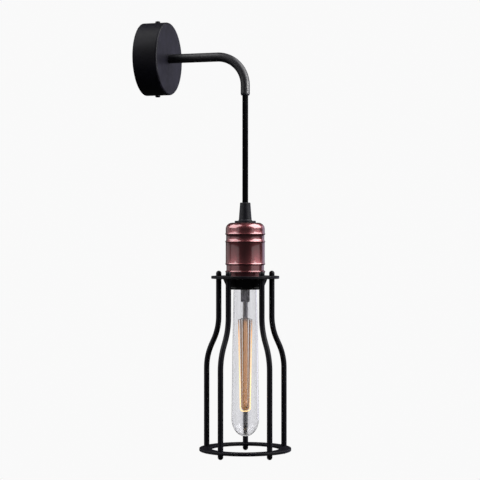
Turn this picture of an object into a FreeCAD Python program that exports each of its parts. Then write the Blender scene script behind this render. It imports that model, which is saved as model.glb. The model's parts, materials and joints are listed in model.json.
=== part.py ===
import FreeCAD, Part
import math
import os

# Cage wall light: a round rose on the wall, a bent tube arm, a braided cord, a copper lamp cup
# and a cage of five round wires about a long tubular bulb. Millimetres.
# The origin is the middle of the rose's back on the wall. +Z is up, the light stands out along -Y.

os.makedirs("parts", exist_ok=True)

# ---- clearances ----
fit_gap = 0.05          # a piece that sits in or on another one that it doesn't move against
cord_gap = 0.3          # all round a cord in its bore
run_gap = 0.3           # between pieces that move past each other
plate_gap = 0.25        # between the cage's plate and the socket that it slips over
contact_gap = 0.15      # between the lamp's contact button and what is under and over it

# ---- rose: the cup on the wall ----
rose_diameter = 80.0
rose_depth = 28.0
rose_wall = 1.2
rose_edge_radius = 2.0
side_screw_inset = 14.0         # from the wall to the side screws
side_screw_diameter = 3.0
side_screw_length = 8.0
side_head_diameter = 5.5
side_head_height = 2.0

# ---- bracket on the wall ----
bracket_thickness = 2.0
bracket_width = 16.0
bracket_bend_radius = 3.0
ear_gap = 1.8                   # between an ear and the inside of the rose
ear_depth = 20.0
wing_height = 22.0              # the two side arms that carry the terminals and the earth screw
block_wing_reach = 36.0
earth_wing_reach = 27.0
cable_hole_diameter = 10.4
slot_spacing = 42.0
slot_width = 4.5
slot_length = 12.0

# ---- arm ----
arm_reach = 88.0                # from the rose's face to the line that the lamp hangs on
arm_bend_radius = 32.0
arm_stub = 9.0                  # straight end below the bend
tube_wall = 1.5
spigot_wall = 1.0
spigot_length = 9.0             # the thinner end that goes through the rose's face
washer_thickness = 0.8
washer_diameter = 15.0
washer_teeth = 12
locknut_width = 14.0
locknut_height = 3.0
bush_wall = 0.5
bush_depth = 8.0                # up inside the tube
bush_lip = 1.8                  # below the tube
bush_lip_taper = 0.6
bush_flare = 0.3
bush_flare_height = 0.6

# ---- cord and its cores ----
cord_diameter = 6.4
cord_drop_length = 118.3        # from the tube's end to the grip
cord_in_grip = 16.7             # how far the cord goes down inside the grip
core_diameter = 1.8
core_offset = 1.7               # from the cord's middle to a core's
sheath_end_y = -12.5            # where the cord is stripped, inside the rose
neck_length = 2.0
neck_wide = 2.2
neck_narrow = 1.2
neck_edge_radius = 0.3

# ---- cord clamp in the rose ----
clamp_width = 15.0
clamp_grip_length = 5.0
clamp_overlap = 3.0
clamp_screw_diameter = 3.0
clamp_screw_length = 7.0
clamp_screw_head = 4.6
clamp_screw_head_height = 1.6
clamp_edge_radius = 2.0

# ---- terminal block and earth in the rose ----
block_length = 20.0
block_width = 17.0
block_height = 10.5
block_start = 13.5
block_edge_radius = 1.0
pole_spacing = 9.2
barrel_diameter = 4.6
barrel_length = 17.0
barrel_bore = 2.4
barrel_height = 4.8             # from the bracket to a barrel's middle
terminal_screw_diameter = 2.6
terminal_screw_spacing = 9.0
terminal_screw_sink = 1.0       # below the block's face
terminal_slot_width = 0.6
terminal_slot_depth = 1.0
block_screw_diameter = 2.6
block_screw_head = 4.4
block_screw_head_height = 1.5
tag_thickness = 0.8
tag_diameter = 7.0
tag_barrel_diameter = 3.0
tag_barrel_length = 5.0
tag_neck_length = 1.0           # between a tag's ring and its barrel
earth_screw_diameter = 3.5
earth_screw_head = 6.2
earth_screw_head_height = 2.2
earth_screw_x = -21.0

# ---- cord grip and its washer ----
grip_height = 19.8
grip_top_diameter = 11.2
grip_base_diameter = 14.0
grip_foot_flare = 0.5
grip_foot_height = 1.2
grip_shoulder_radius = 0.8
grip_foot_radius = 0.3
grip_thread_diameter = 9.8
grip_thread_length = 6.0
grip_screw_diameter = 3.0
grip_screw_drop = 12.5          # from the grip's top to its screw
grip_screw_sink = 0.4           # below the grip's skin
grip_slot_width = 0.6
grip_slot_depth = 0.8
grip_washer_diameter = 23.0
grip_washer_thickness = 2.1
grip_washer_edge_radius = 0.6

# ---- lamp cup ----
cup_height = 57.8
cup_diameter = 42.5
cup_wall = 0.9
cup_shoulder_radius = 7.0
cup_foot_diameter = 41.5
bead_height = 2.6
bead_radius = 0.9
upper_bead_drop = 12.3          # from the cup's top to its first bead
upper_bead_spacing = 8.2
upper_bead_swell = 0.5
upper_groove_depth = 0.45
lower_bead_drop = 44.9
lower_bead_spacing = 8.2
lower_bead_swell = 0.5
lower_groove_depth = 0.8

# ---- bridge between cup and socket ----
bridge_thickness = 1.5
bridge_width = 14.0
bridge_half_span = 12.0
bridge_foot = 5.4
bridge_bend_radius = 2.0
bridge_screw_diameter = 3.0
bridge_screw_length = 7.0
bridge_head_diameter = 5.2
bridge_head_height = 2.0
tag_screw_length = 2.8          # the screw that holds the earth tag on the bridge

# ---- socket ----
socket_drop = 24.8              # from the cup's top to the socket's
socket_diameter = 37.0
socket_roof = 8.0
socket_edge_radius = 1.0
socket_mouth_radius = 0.6
skirt_diameter = 39.5
skirt_start = 3.0               # above the cage's top plate
skirt_end = 11.6                # below the cage's top plate
shell_wall = 0.75
shell_length = 29.0
shell_flange_hole = 18.0
shell_edge_radius = 0.7
shell_screw_diameter = 2.5
shell_screw_circle = 21.0
shell_screw_length = 6.0
shell_head_diameter = 4.6
shell_head_height = 1.2
strip_thickness = 0.6
strip_width = 5.0
centre_leg_y = 6.5
side_leg_y = 10.5
tongue_drop = 1.0               # from the roof to the centre contact's tongue
terminal_length = 7.0
terminal_width = 6.5
terminal_height = 6.0
terminal_y = 9.0
terminal_bore_depth = 4.0
terminal_head_height = 1.4
contact_edge_radius = 0.3

# ---- cage ----
plate_diameter = 74.0
plate_margin = 6.5              # from a wire's middle to the plate's edge
plate_thickness = 3.0
plate_edge_radius = 0.5
ring_outer_diameter = 100.0
ring_width = 12.4
ring_margin = 5.5               # from a wire's middle to the ring's outer edge
ring_thickness = 3.0
cage_height = 189.7             # from the plate's top to the ring's underside
wire_count = 5
wire_diameter = 6.0
wire_overhang = 5.6             # past the plate above and past the ring below
wire_straight = 41.0            # from under the plate to where the bend starts
wire_bend_radius = 60.0
wire_lean = 25.0

# ---- ring nut ----
nut_top_diameter = 47.8
nut_bottom_diameter = 42.0
nut_height = 8.5
nut_edge_radius = 1.0

# ---- bulb ----
bulb_seat = 2.2                 # from under the socket's roof to the button's top, without the contact
button_diameter = 9.2
button_height = 1.35
button_edge_radius = 2.0
insulator_height = 3.5
insulator_diameter = 17.8
insulator_rim = 0.4             # past the button's edge
insulator_edge_radius = 0.3
cap_height = 27.0               # from the button's top to the cap's rim
cap_core_diameter = 24.4
cap_crest_diameter = 26.2
cap_wall = 0.5
cap_rim_height = 2.0
cap_rim_diameter = 25.8
cap_rim_radius = 0.3
cap_shoulder_radius = 1.0
thread_pitch = 3.629
thread_root_half = 0.95
thread_crest_half = 0.45
thread_bite = 0.2               # how deep a ridge's root goes into its wall
cap_thread_turns = 3.25
shell_thread_turns = 2.25
bulb_length = 196.9
glass_wall = 0.9
glass_neck_diameter = 22.6
glass_neck_reach = 4.0          # up inside the cap, above its rim's top
glass_neck_radius = 8.0
glass_shoulder_radius = 30.0
glass_waist_radius = 200.0
glass_shoulder_diameter = 25.2
glass_shoulder_drop = 10.1      # below the cap's rim
glass_waist_diameter = 27.8
glass_waist_drop = 76.1
glass_full_diameter = 29.8
glass_dome_depth = 19.0
stem_diameter = 10.0
stem_wall = 1.0
stem_flare_radius = 3.0
stem_reach = 3.0                # up inside the cap, above its rim's top
stem_drop = 23.9                # below the cap's rim
pinch_thickness = 4.4
pinch_height = 9.0
rod_diameter = 4.3
rod_end_radius = 1.5
lead_diameter = 0.7
lead_spacing = 7.2              # between the leads where they come out of the stem
lead_straight = 6.0
lead_bend_radius = 6.0
filament_diameter = 0.8
filament_top_radius = 7.3
filament_foot_radius = 5.4
filament_top_drop = 43.5        # below the cap's rim
filament_length = 99.0
filament_hairpins = 3
hairpin_step = 2.4              # each hairpin's foot hangs this much lower than the last
hairpin_bend_radius = 3.0
support_diameter = 0.6

# ---- sizes that follow ----
rose_radius = rose_diameter / 2
face_y = -rose_depth
axis_y = face_y - arm_reach
cord_radius = cord_diameter / 2
core_radius = core_diameter / 2
bore_radius = cord_radius + cord_gap
tube_radius = bore_radius + tube_wall
spigot_radius = bore_radius + spigot_wall
spigot_end_y = face_y + spigot_length
bush_radius = bore_radius + bush_wall
tube_end_z = -(arm_bend_radius + arm_stub)
pivot_z = tube_end_z - bush_lip
nut_front_y = face_y + rose_wall + washer_thickness
clamp_start_y = spigot_end_y - clamp_overlap
clamp_end_y = spigot_end_y + clamp_grip_length
clamp_middle_y = spigot_end_y + clamp_grip_length / 2
grip_top_z = tube_end_z - cord_drop_length
grip_base_z = grip_top_z - grip_height
cord_end_z = grip_top_z - cord_in_grip
cup_top_z = grip_base_z - grip_washer_thickness
grip_thread_end_z = grip_base_z - grip_thread_length
plate_top_z = cup_top_z - cup_height
plate_bottom_z = plate_top_z - plate_thickness
ring_bottom_z = plate_top_z - cage_height
ring_top_z = ring_bottom_z + ring_thickness
ring_inner_diameter = ring_outer_diameter - 2 * ring_width
wire_top_circle = plate_diameter - 2 * plate_margin
wire_bottom_circle = ring_outer_diameter - 2 * ring_margin
socket_top_z = cup_top_z - socket_drop
roof_z = socket_top_z - socket_roof
mouth_z = plate_bottom_z - skirt_end
bridge_bottom_z = cup_top_z - cup_wall - bridge_thickness
button_top_z = roof_z - bulb_seat - contact_gap - contact_gap
button_bottom_z = button_top_z - button_height
insulator_top_z = button_bottom_z - contact_gap
cap_rim_z = button_top_z - cap_height
cap_shoulder_z = insulator_top_z - insulator_height
shell_radius = cap_crest_diameter / 2 + run_gap
shell_outer = shell_radius + shell_wall
shell_bottom_z = roof_z - shell_length
socket_bore = shell_outer + fit_gap
thread_start_z = cap_rim_z + cap_rim_height + thread_root_half + run_gap
glass_foot_z = button_top_z - bulb_length
glass_full_z = glass_foot_z + glass_dome_depth
filament_top_z = cap_rim_z - filament_top_drop
filament_foot_z = filament_top_z - filament_length
stem_end_z = cap_rim_z - stem_drop
rod_end_z = filament_foot_z + hairpin_step * (filament_hairpins - 1) + 2 * support_diameter

up = FreeCAD.Vector(0, 0, 1)
across = FreeCAD.Vector(1, 0, 0)
outward = FreeCAD.Vector(0, -1, 0)
origin = FreeCAD.Vector(0, 0, 0)
hang_point = FreeCAD.Vector(0, axis_y, 0)
touching = 1e-6


def rounded(points, radii, closed=False):
    """A wire of straight runs joined by tangent arcs, with one radius for each point."""
    count = len(points)
    stops = []
    for i, point in enumerate(points):
        inner = closed or 0 < i < count - 1
        if not (inner and radii[i]):
            stops.append([point])
            continue
        back = (points[i - 1] - point).normalize()
        ahead = (points[(i + 1) % count] - point).normalize()
        half = back.getAngle(ahead) / 2
        reach = radii[i] / math.tan(half)
        inset = radii[i] / math.sin(half) - radii[i]
        middle = (back + ahead).normalize() * inset
        stops.append([point + back * reach, point + middle, point + ahead * reach])
    edges = []
    for i, stop in enumerate(stops):
        if len(stop) > 1:
            edges.append(Part.Arc(*stop).toShape())
        if not closed and i == count - 1:
            break
        start = stop[-1]
        end = stops[(i + 1) % count][0]
        if start.distanceToPoint(end) > touching:
            edges.append(Part.LineSegment(start, end).toShape())
    return Part.Wire(edges)


def outline(corners):
    """A flat face in the XZ plane. A corner is (x, z) or, where it is rounded, (x, z, radius)."""
    points = [FreeCAD.Vector(corner[0], 0, corner[1]) for corner in corners]
    radii = [corner[2] if len(corner) > 2 else 0 for corner in corners]
    return Part.Face(rounded(points, radii, closed=True))


def turned(corners):
    """A solid of revolution about the Z axis, from corners of (radius, height)."""
    return outline(corners).revolve(origin, up, 360)


def on_hang_line(shape):
    """Moves a piece that was made about the Z axis to the line that the lamp hangs on."""
    return shape.translated(hang_point)


def on_arm_line(shape):
    """Turns a piece that was made about the Z axis so that its axis is the arm's, along Y."""
    return shape.rotated(origin, across, -90)


def box(low_x, high_x, low_y, high_y, low_z, high_z):
    corner = FreeCAD.Vector(low_x, low_y, low_z)
    return Part.makeBox(high_x - low_x, high_y - low_y, high_z - low_z, corner)


def rod(diameter, start, end):
    """A round bar between two points."""
    line = end - start
    return Part.makeCylinder(diameter / 2, line.Length, start, line)


def hexagon(width, height, start, direction):
    """A six-sided bar, measured across its flats."""
    corner_radius = width / 2 / math.cos(math.radians(30))
    points = []
    for i in range(7):
        angle = math.radians(60 * i)
        points.append(FreeCAD.Vector(corner_radius * math.cos(angle), corner_radius * math.sin(angle), 0))
    bar = Part.Face(Part.makePolygon(points)).extrude(up * height)
    bar.rotate(origin, FreeCAD.Rotation(up, direction).Axis, math.degrees(up.getAngle(direction)))
    return bar.translated(start)


def slotted_screw(diameter, length, head_diameter, head_height, seat, direction):
    """A round-headed slotted screw: its head sits at seat and its shank runs along direction."""
    head_radius = head_diameter / 2
    edge = head_height * 0.45
    head = turned([(0, 0), (head_radius, 0), (head_radius, head_height, edge), (0, head_height)])
    shank = turned([(0, 0), (diameter / 2, 0), (diameter / 2, -length, diameter / 8), (0, -length)])
    slot_depth = head_height / 2
    slot_half = head_diameter * 0.07
    slot = box(-head_radius, head_radius, -slot_half, slot_half, head_height - slot_depth, head_height)
    screw = head.fuse(shank).cut(slot)
    turn = FreeCAD.Rotation(up, direction * -1)
    screw.Placement = FreeCAD.Placement(seat, turn).multiply(screw.Placement)
    return screw.removeSplitter()


def swept(path, radius):
    """A round tube along a wire, checked against its section times its length."""
    edge = path.OrderedEdges[0]
    start = edge.valueAt(edge.FirstParameter)
    ahead = edge.tangentAt(edge.FirstParameter)
    if start.distanceToPoint(path.OrderedVertexes[0].Point) > touching:
        start = edge.valueAt(edge.LastParameter)
        ahead = edge.tangentAt(edge.LastParameter) * -1
    section = Part.Wire(Part.makeCircle(radius, start, ahead))
    solid = path.makePipeShell([section], True, False)
    expected = math.pi * radius * radius * path.Length
    if abs(solid.Volume - expected) > 0.01 * expected:
        print("tube volume", solid.Volume, "expected", expected)
    return solid


def cord_radii(name, points):
    """The largest arcs that a cord's runs allow, printed in millimetres."""
    radii = [0]
    for before, point, after in zip(points, points[1:], points[2:]):
        back = before - point
        ahead = after - point
        half_turn = (math.pi - back.getAngle(ahead)) / 2
        radii.append(0.45 * min(back.Length, ahead.Length) / math.tan(half_turn))
    print(name, "radii", [round(radius, 1) for radius in radii[1:]])
    return radii + [0]


def core(name, points):
    """One insulated core along its route."""
    path = rounded(points, cord_radii(name, points))
    return swept(path, core_radius)


# ---------------------------------------------------------------- rose

def wall_bracket():
    ear_z = rose_radius - rose_wall - ear_gap
    bend_outer = bracket_bend_radius
    bend_inner = bracket_bend_radius - bracket_thickness
    deep = ear_depth
    thick = bracket_thickness
    side = [(-ear_z, 0, bend_outer), (ear_z, 0, bend_outer), (ear_z, deep), (ear_z - thick, deep),
            (ear_z - thick, thick, bend_inner), (thick - ear_z, thick, bend_inner),
            (thick - ear_z, deep), (-ear_z, deep)]
    strap = outline(side).extrude(FreeCAD.Vector(0, bracket_width, 0))
    strap.rotate(origin, across, 90)
    strap.rotate(origin, outward, 90)
    strap.translate(FreeCAD.Vector(bracket_width / 2, 0, 0) - FreeCAD.Vector(strap.BoundBox.XMax, 0, 0))
    wings = box(-earth_wing_reach, block_wing_reach, -thick, 0, -wing_height / 2, wing_height / 2)
    bracket = strap.fuse(wings)
    tools = [rod(cable_hole_diameter, origin, outward * thick)]
    for end in (1, -1):
        low_z = end * slot_spacing / 2 - (slot_length - slot_width) / 2
        high_z = end * slot_spacing / 2 + (slot_length - slot_width) / 2
        tools.append(box(-slot_width / 2, slot_width / 2, -thick, 0, low_z, high_z))
        for slot_z in (low_z, high_z):
            round_end = FreeCAD.Vector(0, 0, slot_z)
            tools.append(rod(slot_width, round_end, round_end + outward * thick))
        hole = FreeCAD.Vector(0, -side_screw_inset, 0)
        tools.append(rod(side_screw_diameter + 2 * fit_gap, hole, hole + up * (end * rose_radius)))
    earth_hole = FreeCAD.Vector(earth_screw_x, 0, 0)
    tools.append(rod(earth_screw_diameter + 2 * fit_gap, earth_hole, earth_hole + outward * thick))
    block_hole = FreeCAD.Vector(block_start + block_length / 2, 0, 0)
    tools.append(rod(block_screw_diameter + 2 * fit_gap, block_hole, block_hole + outward * thick))
    return bracket.cut(tools).removeSplitter()


def rose_cover():
    inner = rose_radius - rose_wall
    inner_edge = rose_edge_radius - rose_wall
    back_y = 0
    hole = spigot_radius + fit_gap
    cup = turned([(hole, face_y), (rose_radius, face_y, rose_edge_radius), (rose_radius, back_y),
                  (inner, back_y), (inner, face_y + rose_wall, inner_edge), (hole, face_y + rose_wall)])
    cup = on_arm_line(cup)
    middle = FreeCAD.Vector(0, -side_screw_inset, 0)
    way_width = side_screw_diameter + 2 * fit_gap
    screw_way = rod(way_width, middle - up * rose_diameter, middle + up * rose_diameter)
    return cup.cut(screw_way)


def rose_side_screws():
    screws = []
    for end in (1, -1):
        seat = FreeCAD.Vector(0, -side_screw_inset, end * (rose_radius + fit_gap))
        screws.append(slotted_screw(side_screw_diameter, side_screw_length, side_head_diameter,
                                    side_head_height, seat, up * -end))
    return Part.makeCompound(screws)


def terminal_block():
    end_x = block_start + block_length
    base_y = -bracket_thickness
    front_y = base_y - block_height
    half = block_width / 2
    edge = block_edge_radius
    block = outline([(block_start, -half, edge), (end_x, -half, edge), (end_x, half, edge),
                     (block_start, half, edge)])
    block = block.extrude(outward * block_height).translated(outward * bracket_thickness)
    tools = []
    for side in (1, -1):
        start = FreeCAD.Vector(block_start, base_y - barrel_height, side * pole_spacing / 2)
        tools.append(rod(barrel_diameter + 2 * fit_gap, start, start + across * block_length))
        for x in screw_places():
            way = FreeCAD.Vector(x, base_y - barrel_height, side * pole_spacing / 2)
            tools.append(rod(terminal_screw_diameter + 2 * cord_gap, way, FreeCAD.Vector(x, front_y, way.z)))
    screw = FreeCAD.Vector(block_start + block_length / 2, base_y, 0)
    tools.append(rod(block_screw_diameter + 2 * fit_gap, screw, screw + outward * block_height))
    return block.cut(tools)


def screw_places():
    middle = block_start + block_length / 2
    return (middle - terminal_screw_spacing / 2, middle + terminal_screw_spacing / 2)


def barrel_middle(side):
    return FreeCAD.Vector(block_start + block_length / 2, -bracket_thickness - barrel_height,
                          side * pole_spacing / 2)


def terminal_barrels():
    barrels = []
    for side in (1, -1):
        start = barrel_middle(side) - across * (barrel_length / 2)
        end = barrel_middle(side) + across * (barrel_length / 2)
        barrel = rod(barrel_diameter, start, end).cut(rod(barrel_bore, start, end))
        for x in screw_places():
            hole = FreeCAD.Vector(x, start.y, start.z)
            width = terminal_screw_diameter + 2 * fit_gap
            barrel = barrel.cut(rod(width, hole, hole + outward * barrel_diameter))
        barrels.append(barrel)
    return Part.makeCompound(barrels)


def terminal_screws():
    screws = []
    front_y = -bracket_thickness - block_height
    tip = barrel_bore / 2
    for side in (1, -1):
        for x in screw_places():
            way = FreeCAD.Vector(x, barrel_middle(side).y - tip, side * pole_spacing / 2)
            head = FreeCAD.Vector(x, front_y + terminal_screw_sink, way.z)
            screw = rod(terminal_screw_diameter, way, head)
            half = terminal_slot_width / 2
            slot = box(x - terminal_screw_diameter, x + terminal_screw_diameter, head.y,
                       head.y + terminal_slot_depth, way.z - half, way.z + half)
            screws.append(screw.cut(slot))
    return Part.makeCompound(screws)


def block_screw():
    seat = FreeCAD.Vector(block_start + block_length / 2, -bracket_thickness - block_height - fit_gap, 0)
    length = block_height + bracket_thickness
    return slotted_screw(block_screw_diameter, length, block_screw_head, block_screw_head_height, seat,
                         outward * -1)


def earth_tag():
    low_y = -bracket_thickness - tag_thickness
    ring_at = FreeCAD.Vector(earth_screw_x, -bracket_thickness, 0)
    ring = rod(tag_diameter, ring_at, ring_at + outward * tag_thickness)
    barrel_start = earth_screw_x + tag_diameter / 2 + tag_neck_length
    neck = box(earth_screw_x, barrel_start + tag_neck_length, low_y, -bracket_thickness,
               -tag_barrel_diameter / 2, tag_barrel_diameter / 2)
    barrel_y = -bracket_thickness - tag_barrel_diameter / 2
    start = FreeCAD.Vector(barrel_start, barrel_y, 0)
    end = FreeCAD.Vector(barrel_start + tag_barrel_length, barrel_y, 0)
    tag = ring.fuse([neck, rod(tag_barrel_diameter, start, end)])
    hole = rod(earth_screw_diameter + 2 * fit_gap, ring_at, ring_at + outward * tag_thickness)
    bore = rod(core_diameter + 2 * fit_gap, start + across, end)
    return tag.cut([hole, bore]).removeSplitter()


def earth_screw():
    seat = FreeCAD.Vector(earth_screw_x, -bracket_thickness - tag_thickness - fit_gap, 0)
    length = bracket_thickness + tag_thickness
    return slotted_screw(earth_screw_diameter, length, earth_screw_head, earth_screw_head_height, seat,
                         outward * -1)


# ---------------------------------------------------------------- arm

def arm_line(start_y, end_z):
    """The arm's middle line: out from the wall, round the bend and down."""
    points = [FreeCAD.Vector(0, start_y, 0), FreeCAD.Vector(0, axis_y, 0), FreeCAD.Vector(0, axis_y, end_z)]
    return rounded(points, [0, arm_bend_radius, 0])


def arm_tube():
    tube = swept(arm_line(face_y, tube_end_z), tube_radius)
    spigot = rod(2 * spigot_radius, FreeCAD.Vector(0, face_y, 0), FreeCAD.Vector(0, spigot_end_y, 0))
    way = swept(arm_line(spigot_end_y, tube_end_z), bore_radius)
    seat_top = FreeCAD.Vector(0, axis_y, tube_end_z + bush_depth + fit_gap)
    seat = rod(2 * (bush_radius + fit_gap), seat_top, FreeCAD.Vector(0, axis_y, tube_end_z))
    return tube.fuse(spigot).cut(way).cut(seat)


def arm_toothed_washer():
    start = FreeCAD.Vector(0, face_y + rose_wall, 0)
    end = FreeCAD.Vector(0, nut_front_y, 0)
    washer = rod(washer_diameter, start, end).cut(rod(2 * (spigot_radius + fit_gap), start, end))
    notches = []
    for i in range(washer_teeth):
        angle = math.radians(360 * i / washer_teeth)
        side = FreeCAD.Vector(math.cos(angle), 0, math.sin(angle)) * (washer_diameter / 2)
        notches.append(rod(washer_diameter / washer_teeth, start + side, end + side))
    return washer.cut(notches)


def arm_locknut():
    start = FreeCAD.Vector(0, nut_front_y, 0)
    nut = hexagon(locknut_width, locknut_height, start, outward * -1)
    hole = rod(2 * (spigot_radius + fit_gap), start, start - outward * locknut_height)
    return nut.cut(hole)


def arm_end_bush():
    mouth = bore_radius + bush_flare
    foot_radius = tube_radius - bush_lip_taper
    foot_z = pivot_z
    bush = turned([(bore_radius, tube_end_z + bush_depth), (bush_radius, tube_end_z + bush_depth),
                   (bush_radius, tube_end_z), (tube_radius, tube_end_z), (foot_radius, foot_z),
                   (mouth, foot_z), (bore_radius, foot_z + bush_flare_height)])
    return on_hang_line(bush)


def cord_clamp():
    half = clamp_width / 2
    edge = clamp_edge_radius
    block = outline([(-half, -half, edge), (half, -half, edge), (half, half, edge), (-half, half, edge)])
    block = block.extrude(outward * (clamp_end_y - clamp_start_y) * -1)
    block = block.translated(FreeCAD.Vector(0, clamp_start_y, 0))
    spigot_way = rod(2 * (spigot_radius + fit_gap), FreeCAD.Vector(0, clamp_start_y, 0),
                     FreeCAD.Vector(0, spigot_end_y, 0))
    cord_way = rod(2 * (cord_radius + fit_gap), FreeCAD.Vector(0, spigot_end_y, 0),
                   FreeCAD.Vector(0, clamp_end_y, 0))
    screw_foot = FreeCAD.Vector(0, clamp_middle_y, 0)
    screw_way = rod(clamp_screw_diameter + 2 * fit_gap, screw_foot, screw_foot + up * clamp_width)
    return block.cut([spigot_way, cord_way, screw_way])


def cord_clamp_screw():
    seat = FreeCAD.Vector(0, clamp_middle_y, cord_radius + fit_gap + clamp_screw_length)
    return slotted_screw(clamp_screw_diameter, clamp_screw_length, clamp_screw_head,
                         clamp_screw_head_height, seat, up * -1)


# ---------------------------------------------------------------- cord

def cord_in_arm():
    neck_top_z = pivot_z + cord_radius + cord_gap + neck_length + run_gap
    return swept(arm_line(sheath_end_y, neck_top_z), cord_radius)


def cord_neck():
    """The short bend of the cord just inside the bush, between the held cord and the hanging one."""
    ball = cord_radius + cord_gap
    base = math.sqrt(ball * ball - neck_wide * neck_wide)
    top = ball + neck_length
    cone = turned([(0, base - neck_wide), (neck_wide, base), (neck_narrow, top, neck_edge_radius),
                   (0, top)])
    neck = cone.cut(Part.makeSphere(ball))
    return neck.translated(FreeCAD.Vector(0, axis_y, pivot_z))


def cord_drop():
    """The hanging cord, with a round end about the point that it swings on."""
    dome = Part.makeSphere(cord_radius, FreeCAD.Vector(0, axis_y, pivot_z), up, 0, 90, 360)
    straight = rod(cord_diameter, FreeCAD.Vector(0, axis_y, cord_end_z), FreeCAD.Vector(0, axis_y, pivot_z))
    return straight.fuse(dome).removeSplitter()


def upper_cores():
    """Live and neutral run to the terminal barrels, earth to its tag."""
    cores = {}
    block_face = block_start + 2
    for name, side in (("core_live_upper", 1), ("core_neutral_upper", -1)):
        barrel = barrel_middle(side)
        start = FreeCAD.Vector(core_offset * 0.5, sheath_end_y + run_gap, side * core_offset * 0.8)
        lead = start + FreeCAD.Vector(0.6, 3.4, side * 0.4)
        aim = FreeCAD.Vector(block_start - 4.5, barrel.y, barrel.z)
        end = FreeCAD.Vector(block_face + 1, barrel.y, barrel.z)
        cores[name] = core(name, [start, lead, aim, end])
    start = FreeCAD.Vector(-core_offset, sheath_end_y + run_gap, 0)
    tag_mouth_x = earth_screw_x + tag_diameter / 2 + tag_neck_length + tag_barrel_length
    tag_y = -bracket_thickness - tag_barrel_diameter / 2
    lead = start + FreeCAD.Vector(-0.6, 4.4, 0)
    aim = FreeCAD.Vector(tag_mouth_x + 3.4, tag_y, 0)
    end = FreeCAD.Vector(tag_mouth_x - 2, tag_y, 0)
    cores["core_earth_upper"] = core("core_earth_upper", [start, lead, aim, end])
    return cores


def lower_cores():
    """Live and neutral drop to the socket's terminals, earth to the tag on the bridge."""
    cores = {}
    terminal_top_z = socket_top_z + strip_thickness + terminal_height
    start_z = cord_end_z - run_gap
    bend_z = grip_thread_end_z - 2.6
    for name, side in (("core_live_lower", 1), ("core_neutral_lower", -1)):
        inner_y = axis_y + side * core_offset
        outer_y = axis_y + side * terminal_y
        points = [FreeCAD.Vector(0, inner_y, start_z), FreeCAD.Vector(0, inner_y, bend_z),
                  FreeCAD.Vector(0, outer_y, terminal_top_z + 3),
                  FreeCAD.Vector(0, outer_y, terminal_top_z - 2.5)]
        cores[name] = core(name, points)
    tag_x = bridge_half_span - bridge_thickness - tag_barrel_diameter / 2
    tag_top_z = bridge_tag_z() + tag_diameter / 2 + tag_barrel_length
    points = [FreeCAD.Vector(core_offset, axis_y, start_z), FreeCAD.Vector(core_offset, axis_y, bend_z),
              FreeCAD.Vector(tag_x, axis_y, tag_top_z + 2.4), FreeCAD.Vector(tag_x, axis_y, tag_top_z - 2.4)]
    cores["core_earth_lower"] = core("core_earth_lower", points)
    return cores


# ---------------------------------------------------------------- grip, cup and bridge

def cord_grip():
    top = grip_top_diameter / 2
    base = grip_base_diameter / 2
    foot = base + grip_foot_flare
    bore = cord_radius + cord_gap
    thread = grip_thread_diameter / 2
    body = turned([(bore, grip_top_z), (top, grip_top_z, grip_shoulder_radius),
                   (base, grip_base_z + grip_foot_height, grip_foot_radius),
                   (foot, grip_base_z + grip_foot_height / 2, grip_foot_radius), (foot, grip_base_z),
                   (thread, grip_base_z), (thread, grip_thread_end_z), (bore, grip_thread_end_z)])
    body = on_hang_line(body)
    start = FreeCAD.Vector(0, axis_y, grip_top_z - grip_screw_drop)
    return body.cut(rod(grip_screw_diameter + 2 * fit_gap, start, start + across * grip_base_diameter))


def grip_screw():
    """A headless screw from the far side that holds the cord."""
    screw_z = grip_top_z - grip_screw_drop
    inner = FreeCAD.Vector(cord_radius + cord_gap, axis_y, screw_z)
    share = grip_screw_drop / grip_height
    skin = (grip_top_diameter + (grip_base_diameter - grip_top_diameter) * share) / 2
    outer = FreeCAD.Vector(skin - grip_screw_sink, axis_y, screw_z)
    screw = rod(grip_screw_diameter, inner, outer)
    half = grip_slot_width / 2
    slot = box(outer.x - grip_slot_depth, outer.x, axis_y - half, axis_y + half,
               screw_z - grip_screw_diameter, screw_z + grip_screw_diameter)
    return screw.cut(slot)


def grip_washer():
    outer = grip_washer_diameter / 2
    hole = grip_thread_diameter / 2 + fit_gap
    edge = grip_washer_edge_radius
    return on_hang_line(turned([(hole, grip_base_z), (outer, grip_base_z, edge), (outer, cup_top_z),
                                (hole, cup_top_z)]))


def cup_line(inset):
    """The cup's side from its top hole to its foot, moved in by inset, as corners."""
    body = cup_diameter / 2 - inset
    foot = cup_foot_diameter / 2 - inset
    corners = [(grip_thread_diameter / 2 + fit_gap, cup_top_z - inset),
               (body, cup_top_z - inset, cup_shoulder_radius - inset)]
    bands = ((upper_bead_drop, upper_bead_spacing, upper_bead_swell, upper_groove_depth),
             (lower_bead_drop, lower_bead_spacing, lower_bead_swell, lower_groove_depth))
    for drop, spacing, swell, groove in bands:
        first_z = cup_top_z - drop
        second_z = first_z - spacing
        half = bead_height / 2
        for z, above, below in ((first_z, 0, groove), (second_z, groove, 0)):
            corners.append((body - above, z + half, bead_radius / 2))
            corners.append((body + swell, z + half / 2, bead_radius))
            corners.append((body + swell, z - half / 2, bead_radius))
            corners.append((body - below, z - half, bead_radius / 2))
    corners.append((foot, plate_top_z))
    return corners


def holder_cup():
    return on_hang_line(turned(cup_line(0) + cup_line(cup_wall)[::-1]))


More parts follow.
